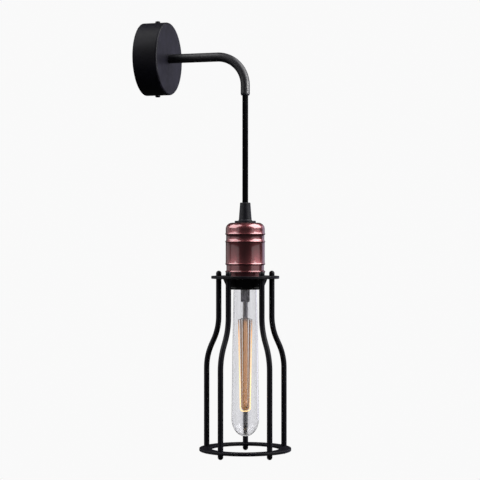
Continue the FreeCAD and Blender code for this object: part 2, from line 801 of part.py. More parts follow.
def holder_bridge():
    half = bridge_half_span
    thick = bridge_thickness
    top_z = cup_top_z - cup_wall
    foot_x = half + bridge_foot
    bend = bridge_bend_radius
    side = [(-half, top_z, bend), (half, top_z, bend), (half, socket_top_z + thick),
            (foot_x, socket_top_z + thick), (foot_x, socket_top_z), (half - thick, socket_top_z),
            (half - thick, top_z - thick, bend - thick), (thick - half, top_z - thick, bend - thick),
            (thick - half, socket_top_z), (-foot_x, socket_top_z), (-foot_x, socket_top_z + thick),
            (-half, socket_top_z + thick)]
    strap = outline(side).extrude(FreeCAD.Vector(0, bridge_width, 0))
    strap = strap.translated(FreeCAD.Vector(0, axis_y - bridge_width / 2, 0))
    middle = FreeCAD.Vector(0, axis_y, top_z)
    tools = [rod(grip_thread_diameter + 2 * fit_gap, middle - up * thick, middle)]
    for end in (1, -1):
        hole = FreeCAD.Vector(end * bridge_screw_x(), axis_y, socket_top_z)
        tools.append(rod(bridge_screw_diameter + 2 * fit_gap, hole, hole + up * thick))
    tag = FreeCAD.Vector(half - thick, axis_y, bridge_tag_z())
    tools.append(rod(bridge_screw_diameter + 2 * fit_gap, tag, tag + across * thick))
    return strap.cut(tools)


def bridge_screw_x():
    return bridge_half_span + bridge_foot / 2


def bridge_tag_z():
    return socket_top_z + bridge_thickness + tag_diameter / 2


def bridge_screws():
    screws = []
    for end in (1, -1):
        seat = FreeCAD.Vector(end * bridge_screw_x(), axis_y, socket_top_z + bridge_thickness + fit_gap)
        screws.append(slotted_screw(bridge_screw_diameter, bridge_screw_length, bridge_head_diameter,
                                    bridge_head_height, seat, up * -1))
    return Part.makeCompound(screws)


def holder_earth_tag():
    face_x = bridge_half_span - bridge_thickness
    ring_at = FreeCAD.Vector(face_x, axis_y, bridge_tag_z())
    ring = rod(tag_diameter, ring_at, ring_at - across * tag_thickness)
    barrel_low = bridge_tag_z() + tag_diameter / 2
    half = tag_barrel_diameter / 2
    neck = box(face_x - tag_thickness, face_x, axis_y - half, axis_y + half, bridge_tag_z(),
               barrel_low + tag_neck_length)
    foot = FreeCAD.Vector(face_x - half, axis_y, barrel_low)
    tag = ring.fuse([neck, rod(tag_barrel_diameter, foot, foot + up * tag_barrel_length)])
    hole = rod(bridge_screw_diameter + 2 * fit_gap, ring_at, ring_at - across * tag_thickness)
    bore = rod(core_diameter + 2 * fit_gap, foot + up, foot + up * tag_barrel_length)
    return tag.cut([hole, bore]).removeSplitter()


def holder_earth_screw():
    seat_x = bridge_half_span - bridge_thickness - tag_thickness - fit_gap
    seat = FreeCAD.Vector(seat_x, axis_y, bridge_tag_z())
    return slotted_screw(bridge_screw_diameter, tag_screw_length, bridge_head_diameter,
                         bridge_head_height, seat, across)


# ---------------------------------------------------------------- socket

def socket_body():
    skirt = skirt_diameter / 2
    upper = socket_diameter / 2
    skirt_z = plate_top_z + skirt_start
    mouth = socket_mouth_radius
    body = turned([(0, socket_top_z), (upper, socket_top_z, socket_edge_radius), (upper, skirt_z),
                   (skirt, skirt_z), (skirt, mouth_z, mouth), (socket_bore, mouth_z, mouth),
                   (socket_bore, roof_z), (0, roof_z)])
    body = on_hang_line(body)
    tools = []
    half = strip_width / 2 + fit_gap
    thick = strip_thickness + 2 * fit_gap
    for leg_y in (centre_leg_y, -side_leg_y - strip_thickness):
        low_y = axis_y + leg_y - fit_gap
        tools.append(box(-half, half, low_y, low_y + thick, roof_z, socket_top_z))
    for end in (1, -1):
        top = FreeCAD.Vector(end * bridge_screw_x(), axis_y, socket_top_z)
        depth = bridge_screw_length - bridge_thickness
        tools.append(rod(bridge_screw_diameter + 2 * fit_gap, top - up * depth, top))
        foot = shell_screw_foot(end)
        tools.append(rod(shell_screw_diameter + 2 * fit_gap, foot, foot + up * shell_screw_length))
    return body.cut(tools)


def shell_screw_foot(end):
    reach = end * shell_screw_circle / 2 * math.cos(math.radians(45))
    return FreeCAD.Vector(reach, axis_y + reach, roof_z)


def shell_screws():
    screws = []
    for end in (1, -1):
        seat = shell_screw_foot(end) - up * (shell_wall + fit_gap)
        screws.append(slotted_screw(shell_screw_diameter, shell_screw_length, shell_head_diameter,
                                    shell_head_height, seat, up))
    return Part.makeCompound(screws)


def terminal_at(side):
    return FreeCAD.Vector(0, axis_y + side * terminal_y, socket_top_z + strip_thickness)


def socket_terminals():
    terminals = []
    for side in (1, -1):
        foot = terminal_at(side)
        half_x = terminal_length / 2
        half_y = terminal_width / 2
        block = box(-half_x, half_x, foot.y - half_y, foot.y + half_y, foot.z, foot.z + terminal_height)
        top = foot + up * terminal_height
        bore = rod(core_diameter + 2 * cord_gap, top - up * terminal_bore_depth, top)
        screw_foot = foot + up * (terminal_height / 2)
        way = rod(bridge_screw_diameter + 2 * fit_gap, screw_foot,
                  screw_foot + FreeCAD.Vector(0, side * half_y, 0))
        terminals.append(block.cut([bore, way]))
    return Part.makeCompound(terminals)


def socket_terminal_screws():
    screws = []
    for side in (1, -1):
        outer_y = side * (terminal_width / 2 + fit_gap)
        seat = terminal_at(side) + FreeCAD.Vector(0, outer_y, terminal_height / 2)
        length = terminal_width / 2 - core_radius - cord_gap
        inward = FreeCAD.Vector(0, -side, 0)
        screws.append(slotted_screw(bridge_screw_diameter, length, bridge_head_diameter,
                                    terminal_head_height, seat, inward))
    return Part.makeCompound(screws)


def centre_contact():
    """A brass strip from the live terminal, down through the roof and under it to the middle."""
    half = strip_width / 2
    leg_y = axis_y + centre_leg_y
    outer_y = leg_y + strip_thickness
    foot = box(-half, half, leg_y, axis_y + terminal_y + terminal_width / 2, socket_top_z,
               socket_top_z + strip_thickness)
    tongue_top = roof_z - tongue_drop
    tongue_low = tongue_top - strip_thickness
    leg = box(-half, half, leg_y, outer_y, tongue_low, socket_top_z + strip_thickness)
    tongue = box(-half, half, axis_y - half, outer_y, tongue_low, tongue_top)
    bump_z = button_top_z + contact_gap
    bump = turned([(0, bump_z), (half, bump_z, contact_edge_radius), (half, tongue_low), (0, tongue_low)])
    return foot.fuse([leg, tongue, on_hang_line(bump)]).removeSplitter()


def side_contact():
    """A brass strip from the neutral terminal down to the screw shell's flange."""
    half = strip_width / 2
    inner_y = axis_y - side_leg_y
    outer_y = inner_y - strip_thickness
    foot_end = axis_y - terminal_y + terminal_width / 2
    foot = box(-half, half, outer_y, foot_end, socket_top_z, socket_top_z + strip_thickness)
    leg = box(-half, half, outer_y, inner_y, roof_z, socket_top_z + strip_thickness)
    return foot.fuse(leg).removeSplitter()


def thread_ridge(root, crest, turns):
    """A right-handed ridge of trapezium section from its root radius to its crest."""
    height = turns * thread_pitch
    bite = thread_bite if crest > root else -thread_bite
    helix = Part.makeHelix(thread_pitch, height, root)
    corners = [(root - bite, -thread_root_half), (crest, -thread_crest_half), (crest, thread_crest_half),
               (root - bite, thread_root_half), (root - bite, -thread_root_half)]
    section = Part.makePolygon([FreeCAD.Vector(x, 0, z) for x, z in corners])
    ridge = helix.makePipeShell([section], True, True)
    return ridge.translated(FreeCAD.Vector(0, 0, thread_start_z))


def screw_shell():
    hole = shell_flange_hole / 2
    flange_z = roof_z - shell_wall
    shell = turned([(hole, roof_z), (shell_outer, roof_z, shell_edge_radius), (shell_outer, shell_bottom_z),
                    (shell_radius, shell_bottom_z), (shell_radius, flange_z), (hole, flange_z)])
    crest = cap_core_diameter / 2 + run_gap
    ridge = thread_ridge(shell_radius, crest, shell_thread_turns)
    ridge.rotate(origin, up, 180)
    shell = on_hang_line(shell.fuse(ridge))
    for end in (1, -1):
        foot = shell_screw_foot(end)
        shell = shell.cut(rod(shell_screw_diameter + 2 * fit_gap, foot - up * shell_wall, foot))
    return shell


# ---------------------------------------------------------------- cage

def wire_angle(number):
    """The first wire faces the wall, and the others follow evenly."""
    return 90 + 360 * number / wire_count


def round_the_lamp(shape, number):
    return on_hang_line(shape.rotated(origin, up, wire_angle(number)))


def wire_holes(circle, low_z, high_z):
    holes = []
    for number in range(wire_count):
        foot = FreeCAD.Vector(circle / 2, 0, low_z)
        hole = rod(wire_diameter + 2 * fit_gap, foot, foot + up * (high_z - low_z))
        holes.append(round_the_lamp(hole, number))
    return holes


def cage_top_plate():
    outer = plate_diameter / 2
    hole = skirt_diameter / 2 + plate_gap
    edge = min(plate_edge_radius, 0.45 * plate_thickness)
    disc = turned([(hole, plate_top_z), (outer, plate_top_z, edge), (outer, plate_bottom_z, edge),
                   (hole, plate_bottom_z)])
    return on_hang_line(disc).cut(wire_holes(wire_top_circle, plate_bottom_z, plate_top_z))


def cage_bottom_ring():
    outer = ring_outer_diameter / 2
    inner = ring_inner_diameter / 2
    edge = min(plate_edge_radius, 0.45 * ring_thickness)
    ring = turned([(inner, ring_top_z, edge), (outer, ring_top_z, edge), (outer, ring_bottom_z, edge),
                   (inner, ring_bottom_z, edge)])
    return on_hang_line(ring).cut(wire_holes(wire_bottom_circle, ring_bottom_z, ring_top_z))


def cage_wire(number):
    """A round wire: straight through the plate, an S-bend outwards, straight through the ring."""
    inner = wire_top_circle / 2
    outer = wire_bottom_circle / 2
    radius = wire_diameter / 2
    lean = math.radians(wire_lean)
    corner = wire_bend_radius * math.tan(lean / 2)
    first_z = plate_bottom_z - wire_straight - corner
    second_z = first_z - (outer - inner) / math.tan(lean)
    top_z = plate_top_z + wire_overhang
    foot_z = ring_bottom_z - wire_overhang
    points = [FreeCAD.Vector(inner, 0, top_z - radius), FreeCAD.Vector(inner, 0, first_z),
              FreeCAD.Vector(outer, 0, second_z), FreeCAD.Vector(outer, 0, foot_z + radius)]
    wire = swept(rounded(points, [0, wire_bend_radius, wire_bend_radius, 0]), radius)
    top_dome = Part.makeSphere(radius, points[0], up, 0, 90, 360)
    foot_dome = Part.makeSphere(radius, points[3], up, -90, 0, 360)
    return round_the_lamp(wire.fuse([top_dome, foot_dome]).removeSplitter(), number)


def ring_nut():
    hole = skirt_diameter / 2 + fit_gap
    top = nut_top_diameter / 2
    low = nut_bottom_diameter / 2
    foot_z = plate_bottom_z - nut_height
    edge = nut_edge_radius
    return on_hang_line(turned([(hole, plate_bottom_z), (top, plate_bottom_z, edge / 2),
                                (top, plate_bottom_z - edge, edge / 2), (low, foot_z, edge), (hole, foot_z)]))


# ---------------------------------------------------------------- bulb

def bulb_contact():
    radius = button_diameter / 2
    flat = 0.6 * radius
    edge = min(button_edge_radius, 0.75 * flat)
    return on_hang_line(turned([(0, button_top_z), (flat, button_top_z, edge), (radius, button_bottom_z),
                                (0, button_bottom_z)]))


def bulb_insulator():
    low = insulator_diameter / 2
    high = button_diameter / 2 + insulator_rim
    edge = insulator_edge_radius
    return on_hang_line(turned([(0, insulator_top_z), (high, insulator_top_z, edge), (low, cap_shoulder_z),
                                (0, cap_shoulder_z)]))


def bulb_cap():
    core_r = cap_core_diameter / 2
    rim = cap_rim_diameter / 2
    top = insulator_diameter / 2
    wall = cap_wall
    shoulder_z = cap_shoulder_z - (core_r - top)
    rim_top_z = cap_rim_z + cap_rim_height
    edge = cap_shoulder_radius
    shell = turned([(top - wall, cap_shoulder_z), (top, cap_shoulder_z), (core_r, shoulder_z, edge),
                    (core_r, rim_top_z), (rim, rim_top_z, cap_rim_radius), (rim, cap_rim_z),
                    (core_r - wall, cap_rim_z), (core_r - wall, shoulder_z - wall / 2, edge),
                    (top - wall, cap_shoulder_z - wall)])
    ridge = thread_ridge(core_r, cap_crest_diameter / 2, cap_thread_turns)
    return on_hang_line(shell.fuse(ridge))


def glass_line(inset):
    """The envelope's side from its neck to the start of its dome, moved in by inset."""
    neck_top_z = cap_rim_z + cap_rim_height + glass_neck_reach
    return [(glass_neck_diameter / 2 - inset, neck_top_z),
            (glass_neck_diameter / 2 - inset, cap_rim_z, glass_neck_radius),
            (glass_shoulder_diameter / 2 - inset, cap_rim_z - glass_shoulder_drop, glass_shoulder_radius),
            (glass_waist_diameter / 2 - inset, cap_rim_z - glass_waist_drop, glass_waist_radius),
            (glass_full_diameter / 2 - inset, glass_full_z)]


def envelope(inset):
    """The filled shape inside the envelope's surface, or inset from it."""
    side = glass_line(inset)
    body = turned([(0, side[0][1])] + side + [(0, glass_full_z)])
    radius = glass_full_diameter / 2 - inset
    depth = glass_dome_depth - inset
    dome = Part.makeSphere(radius, origin, up, -90, 0, 360)
    stretch = FreeCAD.Matrix()
    stretch.scale(1, 1, depth / radius)
    dome = dome.transformGeometry(stretch).translated(FreeCAD.Vector(0, 0, glass_full_z))
    return body.fuse(dome)


def bulb_glass():
    return on_hang_line(envelope(0).cut(envelope(glass_wall)))


def bulb_stem():
    outer = stem_diameter / 2
    inner = outer - stem_wall
    flare = glass_neck_diameter / 2 - glass_wall - fit_gap
    top_z = cap_rim_z + cap_rim_height + stem_reach
    tube_end = stem_end_z + pinch_height / 2
    low_z = top_z - stem_wall
    tube = turned([(inner, top_z), (flare, top_z), (flare, low_z), (outer, low_z, stem_flare_radius),
                   (outer, tube_end), (inner, tube_end)])
    half = pinch_thickness / 2
    pinch = box(-outer, outer, -half, half, stem_end_z, stem_end_z + pinch_height)
    return on_hang_line(tube.fuse(pinch).removeSplitter())


def bulb_rod():
    radius = rod_diameter / 2
    return on_hang_line(turned([(0, stem_end_z), (radius, stem_end_z), (radius, rod_end_z, rod_end_radius),
                                (0, rod_end_z)]))


def bulb_lead_wires():
    wires = []
    for end in (1, -1):
        start = FreeCAD.Vector(end * lead_spacing / 2, 0, stem_end_z - lead_diameter / 2)
        knee = FreeCAD.Vector(end * lead_spacing / 2, 0, stem_end_z - lead_straight)
        tip = FreeCAD.Vector(end * filament_top_radius, 0, filament_top_z + support_diameter)
        path = rounded([start, knee, tip], [0, lead_bend_radius, 0])
        wires.append(on_hang_line(swept(path, lead_diameter / 2)))
    return Part.makeCompound(wires)


def filament_supports():
    """Six spokes from the glass rod to the tops of the hairpins, and a hook under the rod."""
    spokes = []
    for i in range(2 * filament_hairpins):
        start = FreeCAD.Vector(rod_diameter / 2 + fit_gap, 0, filament_top_z)
        end = FreeCAD.Vector(filament_top_radius - filament_diameter / 2 - fit_gap, 0, filament_top_z)
        spoke = rod(support_diameter, start, end).rotated(origin, up, 180 * i / filament_hairpins)
        spokes.append(on_hang_line(spoke))
    hook_top = FreeCAD.Vector(0, axis_y, rod_end_z - fit_gap)
    hook_foot = FreeCAD.Vector(0, axis_y, rod_end_z - support_diameter)
    spokes.append(rod(support_diameter, hook_foot, hook_top))
    return Part.makeCompound(spokes)


def bulb_filament():
    """Hairpins that lean in towards their feet, evenly turned about the rod."""
    hairpins = []
    for i in range(filament_hairpins):
        foot_z = filament_foot_z + hairpin_step * (filament_hairpins - 1 - i)
        top = filament_top_radius
        foot = filament_foot_radius
        points = [FreeCAD.Vector(top, 0, filament_top_z), FreeCAD.Vector(foot, 0, foot_z),
                  FreeCAD.Vector(-foot, 0, foot_z), FreeCAD.Vector(-top, 0, filament_top_z)]
        bend = hairpin_bend_radius
        hairpin = swept(rounded(points, [0, bend, bend, 0]), filament_diameter / 2)
        hairpins.append(on_hang_line(hairpin.rotated(origin, up, 180 * i / filament_hairpins)))
    return Part.makeCompound(hairpins)


def every_piece():
    pieces = {}
    makers = [wall_bracket, rose_cover, rose_side_screws, terminal_block, terminal_barrels, terminal_screws,
              block_screw, earth_tag, earth_screw, arm_tube, arm_toothed_washer, arm_locknut, arm_end_bush,
              cord_clamp, cord_clamp_screw, cord_in_arm, cord_neck, cord_drop, cord_grip, grip_screw,
              grip_washer, holder_cup, holder_bridge, bridge_screws, holder_earth_tag, holder_earth_screw,
              socket_body, shell_screws, socket_terminals, socket_terminal_screws, centre_contact,
              side_contact, screw_shell, cage_top_plate, cage_bottom_ring, ring_nut, bulb_contact,
              bulb_insulator, bulb_cap, bulb_glass, bulb_stem, bulb_rod, bulb_lead_wires,
              filament_supports, bulb_filament]
    for maker in makers:
        pieces[maker.__name__] = maker()
    pieces.update(upper_cores())
    pieces.update(lower_cores())
    for number in range(wire_count):
        pieces["cage_wire_%d" % (number + 1)] = cage_wire(number)
    return pieces


for name, shape in every_piece().items():
    print(name, "solids", len(shape.Solids), "volume", round(shape.Volume, 1), "valid", shape.isValid())
    shape.exportStep("parts/%s.step" % name)
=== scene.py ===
# %% [markdown]
# # Dressing a cage wall light
# The light is a black steel rose on the wall, a bent tube arm, a braided cord, a copper lamp cup and a
# cage of five wires round a long tubular bulb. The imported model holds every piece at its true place,
# so this script loads it first and never moves it. It then does two things: it gives each piece the
# finish of the real one, and it rebuilds the pieces whose looks need more than a plain solid, such as
# the braid of the cord, the pressed cup and the blown bulb with its coiled filament.

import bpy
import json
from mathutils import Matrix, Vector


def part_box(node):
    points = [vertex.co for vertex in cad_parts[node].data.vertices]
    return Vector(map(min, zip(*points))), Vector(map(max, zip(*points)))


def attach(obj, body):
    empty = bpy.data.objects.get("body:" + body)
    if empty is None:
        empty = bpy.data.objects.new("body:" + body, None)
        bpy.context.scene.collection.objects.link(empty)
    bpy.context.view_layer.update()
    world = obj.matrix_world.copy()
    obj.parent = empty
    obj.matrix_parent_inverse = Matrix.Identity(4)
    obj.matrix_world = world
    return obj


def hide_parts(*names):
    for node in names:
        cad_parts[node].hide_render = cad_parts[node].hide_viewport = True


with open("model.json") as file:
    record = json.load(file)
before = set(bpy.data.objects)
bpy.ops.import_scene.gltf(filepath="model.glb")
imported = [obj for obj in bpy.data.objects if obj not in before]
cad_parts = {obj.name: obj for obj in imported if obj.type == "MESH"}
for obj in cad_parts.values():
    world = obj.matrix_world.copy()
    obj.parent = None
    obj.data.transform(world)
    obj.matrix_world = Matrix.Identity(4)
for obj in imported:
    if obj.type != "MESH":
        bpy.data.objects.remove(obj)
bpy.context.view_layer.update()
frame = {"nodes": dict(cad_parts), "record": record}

# %% Tools for the whole lesson
import bpy
import json
import math
from mathutils import Vector

MM = 0.001
nodes = frame["nodes"]
cup_low, cup_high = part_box("holder_cup")
hang_x = (cup_low.x + cup_high.x) / 2
hang_y = (cup_low.y + cup_high.y) / 2
print("the lamp hangs at y =", round(hang_y / MM, 1), "mm")


def colour(hex_code):
    """An sRGB hex colour as the linear values that shaders use."""
    channels = [int(hex_code[i:i + 2], 16) / 255 for i in (1, 3, 5)]
    linear = [c / 12.92 if c <= 0.04045 else ((c + 0.055) / 1.055) ** 2.4 for c in channels]
    return (*linear, 1.0)


def deselect():
    """Nothing is selected, so the next operator acts on its own piece alone."""
    if bpy.context.object and bpy.context.object.mode != "OBJECT":
        bpy.ops.object.mode_set(mode="OBJECT")
    bpy.ops.object.select_all(action="DESELECT")


def choose(piece):
    deselect()
    piece.select_set(True)
    bpy.context.view_layer.objects.active = piece


# %% [markdown]
# ## Camera
# The photograph was taken level with the middle of the light, from the wall's left and a long way off:
# the two sides of the cage look almost parallel. A long lens at that place gives the same outlines.

# %% Camera
CAMERA_PLACE = Vector((-1.6414, -0.6592, -0.2))
LOOK = Vector((0.9483, 0.3173, 0.0))
LENS_MM = 119.3
SENSOR_MM = 36
CLIP_END = 50

camera_data = bpy.data.cameras.new("camera")
camera = bpy.data.objects.new("camera", camera_data)
bpy.context.scene.collection.objects.link(camera)
camera.location = CAMERA_PLACE
camera.rotation_mode = "QUATERNION"
camera.rotation_quaternion = LOOK.to_track_quat("-Z", "Y")
camera_data.lens = LENS_MM
camera_data.sensor_width = SENSOR_MM
camera_data.clip_end = CLIP_END
bpy.context.scene.camera = camera
print("camera", tuple(round(c, 3) for c in camera.location))

# %% [markdown]
# ## Cord
# The lamp hangs on a round flex in a black cotton braid. Twenty-four carriers of yarn cross over and
# under each other, twelve each way. The flex is pulled straight by the lamp, so its route is one plumb
# line, and the braid is modelled as real relief: each point of the tube stands out or sinks in as the
# upper yarn does there.

# %% Cord route
CORD_DIAMETER = 6.4 * MM
ROUTE_SHARES = (0, 0.35, 0.7, 1)
CORD_EXIT = Vector((hang_x, hang_y, -42.8 * MM))
CORD_START = Vector((hang_x, hang_y, -40.4 * MM))
CORD_END = Vector((hang_x, hang_y, -176.0 * MM))
CORD_LENGTH = (CORD_START - CORD_END).length

route_curve = bpy.data.curves.new("cord_route", "CURVE")
route_curve.dimensions = "3D"
route_spline = route_curve.splines.new("NURBS")
route_points = [CORD_START.lerp(CORD_END, share) for share in ROUTE_SHARES]
route_spline.points.add(len(route_points) - 1)
for spline_point, place in zip(route_spline.points, route_points):
    spline_point.co = (*place, 1)
route_spline.order_u = 3
route_spline.use_endpoint_u = True
route = bpy.data.objects.new("cord_route", route_curve)
bpy.context.scene.collection.objects.link(route)
bpy.context.view_layer.update()
route_mesh = bpy.data.meshes.new_from_object(route)
bpy.data.objects.remove(route)

# %% Cord braid
CARRIERS_EACH_WAY = 12
BRAID_STEP = 1.7 * MM
BRAID_RELIEF = 0.16 * MM
YARN_ROUNDNESS = 0.6
CORD_SIDES = 72
CORD_RING_STEP = 0.3 * MM


def braid_height(turn, drop):
    """0 in the gaps between yarns and 1 on the crown of the upper yarn."""
    one = turn * CARRIERS_EACH_WAY + drop / BRAID_STEP
    other = turn * CARRIERS_EACH_WAY - drop / BRAID_STEP
    upper = one if (math.floor(one) + math.floor(other)) % 2 else other
    return math.sin(math.pi * (upper % 1)) ** YARN_ROUNDNESS


def braided_tube(name, top, length, radius):
    """A plumb tube with the braid's relief, closed at both ends, and with a UV map along it.
    Its top is rounded about the exit, where the cord swings."""
    rings = round(length / CORD_RING_STEP)
    vertices = []
    for ring in range(rings + 1):
        drop = length * ring / rings
        above = max(0.0, top.z - drop - CORD_EXIT.z)
        body = math.sqrt(radius * radius - above * above)
        for side in range(CORD_SIDES):
            turn = side / CORD_SIDES
            reach = body - BRAID_RELIEF * (1 - braid_height(turn, drop))
            angle = 2 * math.pi * turn
            vertices.append((top.x + reach * math.cos(angle), top.y + reach * math.sin(angle), top.z - drop))
    faces = []
    for ring in range(rings):
        for side in range(CORD_SIDES):
            a = ring * CORD_SIDES + side
            b = ring * CORD_SIDES + (side + 1) % CORD_SIDES
            faces.append((a, a + CORD_SIDES, b + CORD_SIDES, b))
    faces.append(tuple(range(CORD_SIDES)))
    faces.append(tuple(reversed(range(rings * CORD_SIDES, (rings + 1) * CORD_SIDES))))
    mesh = bpy.data.meshes.new(name)
    mesh.from_pydata(vertices, [], faces)
    mesh.polygons.foreach_set("use_smooth", [True] * len(mesh.polygons))
    uv = mesh.uv_layers.new(name="along")
    for polygon in mesh.polygons:
        around = [mesh.loops[loop].vertex_index % CORD_SIDES for loop in polygon.loop_indices]
        wraps = max(around) - min(around) > CORD_SIDES / 2
        for loop, side in zip(polygon.loop_indices, around):
            ring = mesh.loops[loop].vertex_index // CORD_SIDES
            turn = (side + CORD_SIDES if wraps and side == 0 else side) / CORD_SIDES
            uv.data[loop].uv = (turn, length * ring / rings / BRAID_STEP)
    tube = bpy.data.objects.new(name, mesh)
    bpy.context.scene.collection.objects.link(tube)
    return tube


cord = braided_tube("braided_cord", CORD_START, CORD_LENGTH, CORD_DIAMETER / 2)
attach(cord, "hanging_cord")
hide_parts("cord_drop")
print("braid faces", len(cord.data.polygons))

# %% [markdown]
# ## Stage and light
# The photograph has a bare white ground and dim walls of light left and right of the camera: they leave
# a dark stripe down the middle of the copper cup and a paler band on each side of it. Brighter panels
# hang above them and draw the highlights on the cup's shoulder and beads, and two more stand behind.
# A small, narrow lamp reaches the end of the arm alone. The air gives almost no light, so that black
# stays black. The floor turns up into a wall far away, so that there is no line behind the lamp from
# any side. It glows like paper lit from behind, and it is kept out of the mirror images, as a cut-out
# ground would be.

# %% Floor
FLOOR_Z = -0.75
FLOOR_RADIUS = 6.0
SWEEP_RADIUS = 2.0
SWEEP_STEPS = 6
WALL_HEIGHT = 6.0

deselect()
bpy.ops.mesh.primitive_circle_add(vertices=96, radius=FLOOR_RADIUS - SWEEP_RADIUS, fill_type="NGON",
                                  location=(0, 0, FLOOR_Z))
floor = bpy.context.object
floor.name = "floor"
bpy.ops.object.mode_set(mode="EDIT")
bpy.ops.mesh.select_mode(type="EDGE")
bpy.ops.mesh.select_all(action="SELECT")
bpy.ops.mesh.region_to_loop()
reach = FLOOR_RADIUS - SWEEP_RADIUS
height = FLOOR_Z
sweep = [(FLOOR_RADIUS - SWEEP_RADIUS * (1 - math.sin(a)), FLOOR_Z + SWEEP_RADIUS * (1 - math.cos(a)))
         for a in (math.pi / 2 * i / SWEEP_STEPS for i in range(1, SWEEP_STEPS + 1))]
for new_reach, new_height in sweep + [(FLOOR_RADIUS, WALL_HEIGHT)]:
    bpy.ops.mesh.extrude_edges_move(TRANSFORM_OT_translate={"value": (0, 0, new_height - height)})
    grow = new_reach / reach
    bpy.ops.transform.resize(value=(grow, grow, 1), center_override=(0, 0, new_height))
    reach = new_reach
    height = new_height
bpy.ops.mesh.select_all(action="SELECT")
bpy.ops.mesh.normals_make_consistent(inside=True)
bpy.ops.object.mode_set(mode="OBJECT")
bpy.ops.object.shade_smooth()
floor.visible_glossy = False
floor.visible_diffuse = False
print("floor of", FLOOR_RADIUS, "m with a swept wall")

# %% Paper for the floor
paper = bpy.data.materials.new("white_paper")
paper.use_nodes = True
paper_shader = paper.node_tree.nodes["Principled BSDF"]
paper_shader.inputs["Base Color"].default_value = colour("#000000")
paper_shader.inputs["Roughness"].default_value = 0.9
paper_shader.inputs["Specular IOR Level"].default_value = 0
paper_shader.inputs["Emission Color"].default_value = colour("#ffffff")
paper_shader.inputs["Emission Strength"].default_value = 0.95
floor.data.materials.append(paper)

# %% Lights
LAMP_MIDDLE = Vector((hang_x, hang_y, -0.24))
ARM_END = Vector((hang_x, hang_y, -0.02))
TO_CAMERA = (-LOOK).normalized()
RIGHT = LOOK.cross(Vector((0, 0, 1))).normalized()
WATTS_PER_GLOW = 4          # for each square metre of a panel
ALL_ROUND = 180
WORLD_GLOW = 0.03

# name, degrees from the camera (left is minus), degrees above level, distance, width, height, glow, tint
PANELS = (
    ("left_wall", -66, 4, 2.2, 2.4, 1.5, 0.33, "#ffffff"),
    ("left_high", -86, 45, 2.2, 2.4, 2.2, 2.6, "#ffffff"),
    ("left_rear", -124, 6, 2.4, 1.9, 1.5, 0.25, "#ffffff"),
    ("right_wall", 66, 4, 2.2, 2.4, 1.5, 0.42, "#ffffff"),
    ("right_high", 84, 45, 2.2, 2.4, 2.2, 4.2, "#ffffff"),
    ("right_rear", 140, 6, 2.4, 1.6, 1.5, 0.55, "#e6e3ff"),
)
KICKER = ("arm_kicker", 74, 0, 0.3, 0.22, 0.1, 1.5, "#ffffff")
KICKER_SPREAD = 36


def soft_light(name, turn, rise, distance, width, tall, glow, tint, target, spread):
    """A soft panel, one row of the table above, that faces a target."""
    angle = math.radians(turn)
    lift = math.radians(rise)
    flat = TO_CAMERA * math.cos(angle) + RIGHT * math.sin(angle)
    place = target + (flat * math.cos(lift) + Vector((0, 0, math.sin(lift)))) * distance
    data = bpy.data.lights.new(name, "AREA")
    data.shape = "RECTANGLE"
    data.size = width
    data.size_y = tall
    data.energy = glow * WATTS_PER_GLOW * width * tall
    data.color = colour(tint)[:3]
    data.spread = math.radians(spread)
    light = bpy.data.objects.new(name, data)
    bpy.context.scene.collection.objects.link(light)
    light.location = place
    light.rotation_mode = "QUATERNION"
    light.rotation_quaternion = (target - place).to_track_quat("-Z", "Y")
    light.visible_camera = False


for panel in PANELS:
    soft_light(*panel, LAMP_MIDDLE, ALL_ROUND)
soft_light(*KICKER, ARM_END, KICKER_SPREAD)

world = bpy.data.worlds.new("studio_air")
bpy.context.scene.world = world
world.use_nodes = True
world.node_tree.nodes["Background"].inputs["Color"].default_value = colour("#ffffff")
world.node_tree.nodes["Background"].inputs["Strength"].default_value = WORLD_GLOW
bpy.context.scene.view_settings.view_transform = "Standard"

# %% [markdown]
# ## Finishes
# Every finish starts from what the real surface is and how it was made. Patterns read the object's own
# coordinates, so they stay on the piece from any side, and their scales are given in millimetres. One
# helper adds a node with its settings and its links, and a finish is then a short list of such nodes.


# %% A helper for nodes
def add_node(tree, kind, inputs=None, **settings):
    """Adds a node. Its inputs are values, or sockets of other nodes that are linked to it."""
    made = tree.nodes.new(kind)
    for key, value in settings.items():
        setattr(made, key, value)
    for key, value in (inputs or {}).items():
        if isinstance(value, bpy.types.NodeSocket):
            tree.links.new(value, made.inputs[key])
        else:
            made.inputs[key].default_value = value
    return made


def per_metre(size_mm):
    """The scale of a noise whose features are that many millimetres across."""
    return 1 / (size_mm * MM)


def new_finish(name, roughness, metallic=0.0, **sockets):
    """An empty finish: its node tree, its shader and its object coordinates."""
    finish = bpy.data.materials.new(name)
    finish.use_nodes = True
    tree = finish.node_tree
    shader = tree.nodes["Principled BSDF"]
    shader.inputs["Roughness"].default_value = roughness
    shader.inputs["Metallic"].default_value = metallic
    for socket, value in sockets.items():
        shader.inputs[socket.replace("_", " ")].default_value = value
    place = add_node(tree, "ShaderNodeTexCoord").outputs["Object"]
    return finish, tree, shader, place


def mottle(tree, shader, place, dark, light, size_mm, detail=3):
    """Two close colours that drift into each other over patches of that size."""
    noise = add_node(tree, "ShaderNodeTexNoise", {"Vector": place, "Scale": per_metre(size_mm),
                                                  "Detail": detail})
    ramp = add_node(tree, "ShaderNodeValToRGB", {"Fac": noise.outputs["Fac"]})
    ramp.color_ramp.elements[0].position = 0.35
    ramp.color_ramp.elements[1].position = 0.65
    ramp.color_ramp.elements[0].color = colour(dark)
    ramp.color_ramp.elements[1].color = colour(light)
    tree.links.new(ramp.outputs["Color"], shader.inputs["Base Color"])
    return ramp


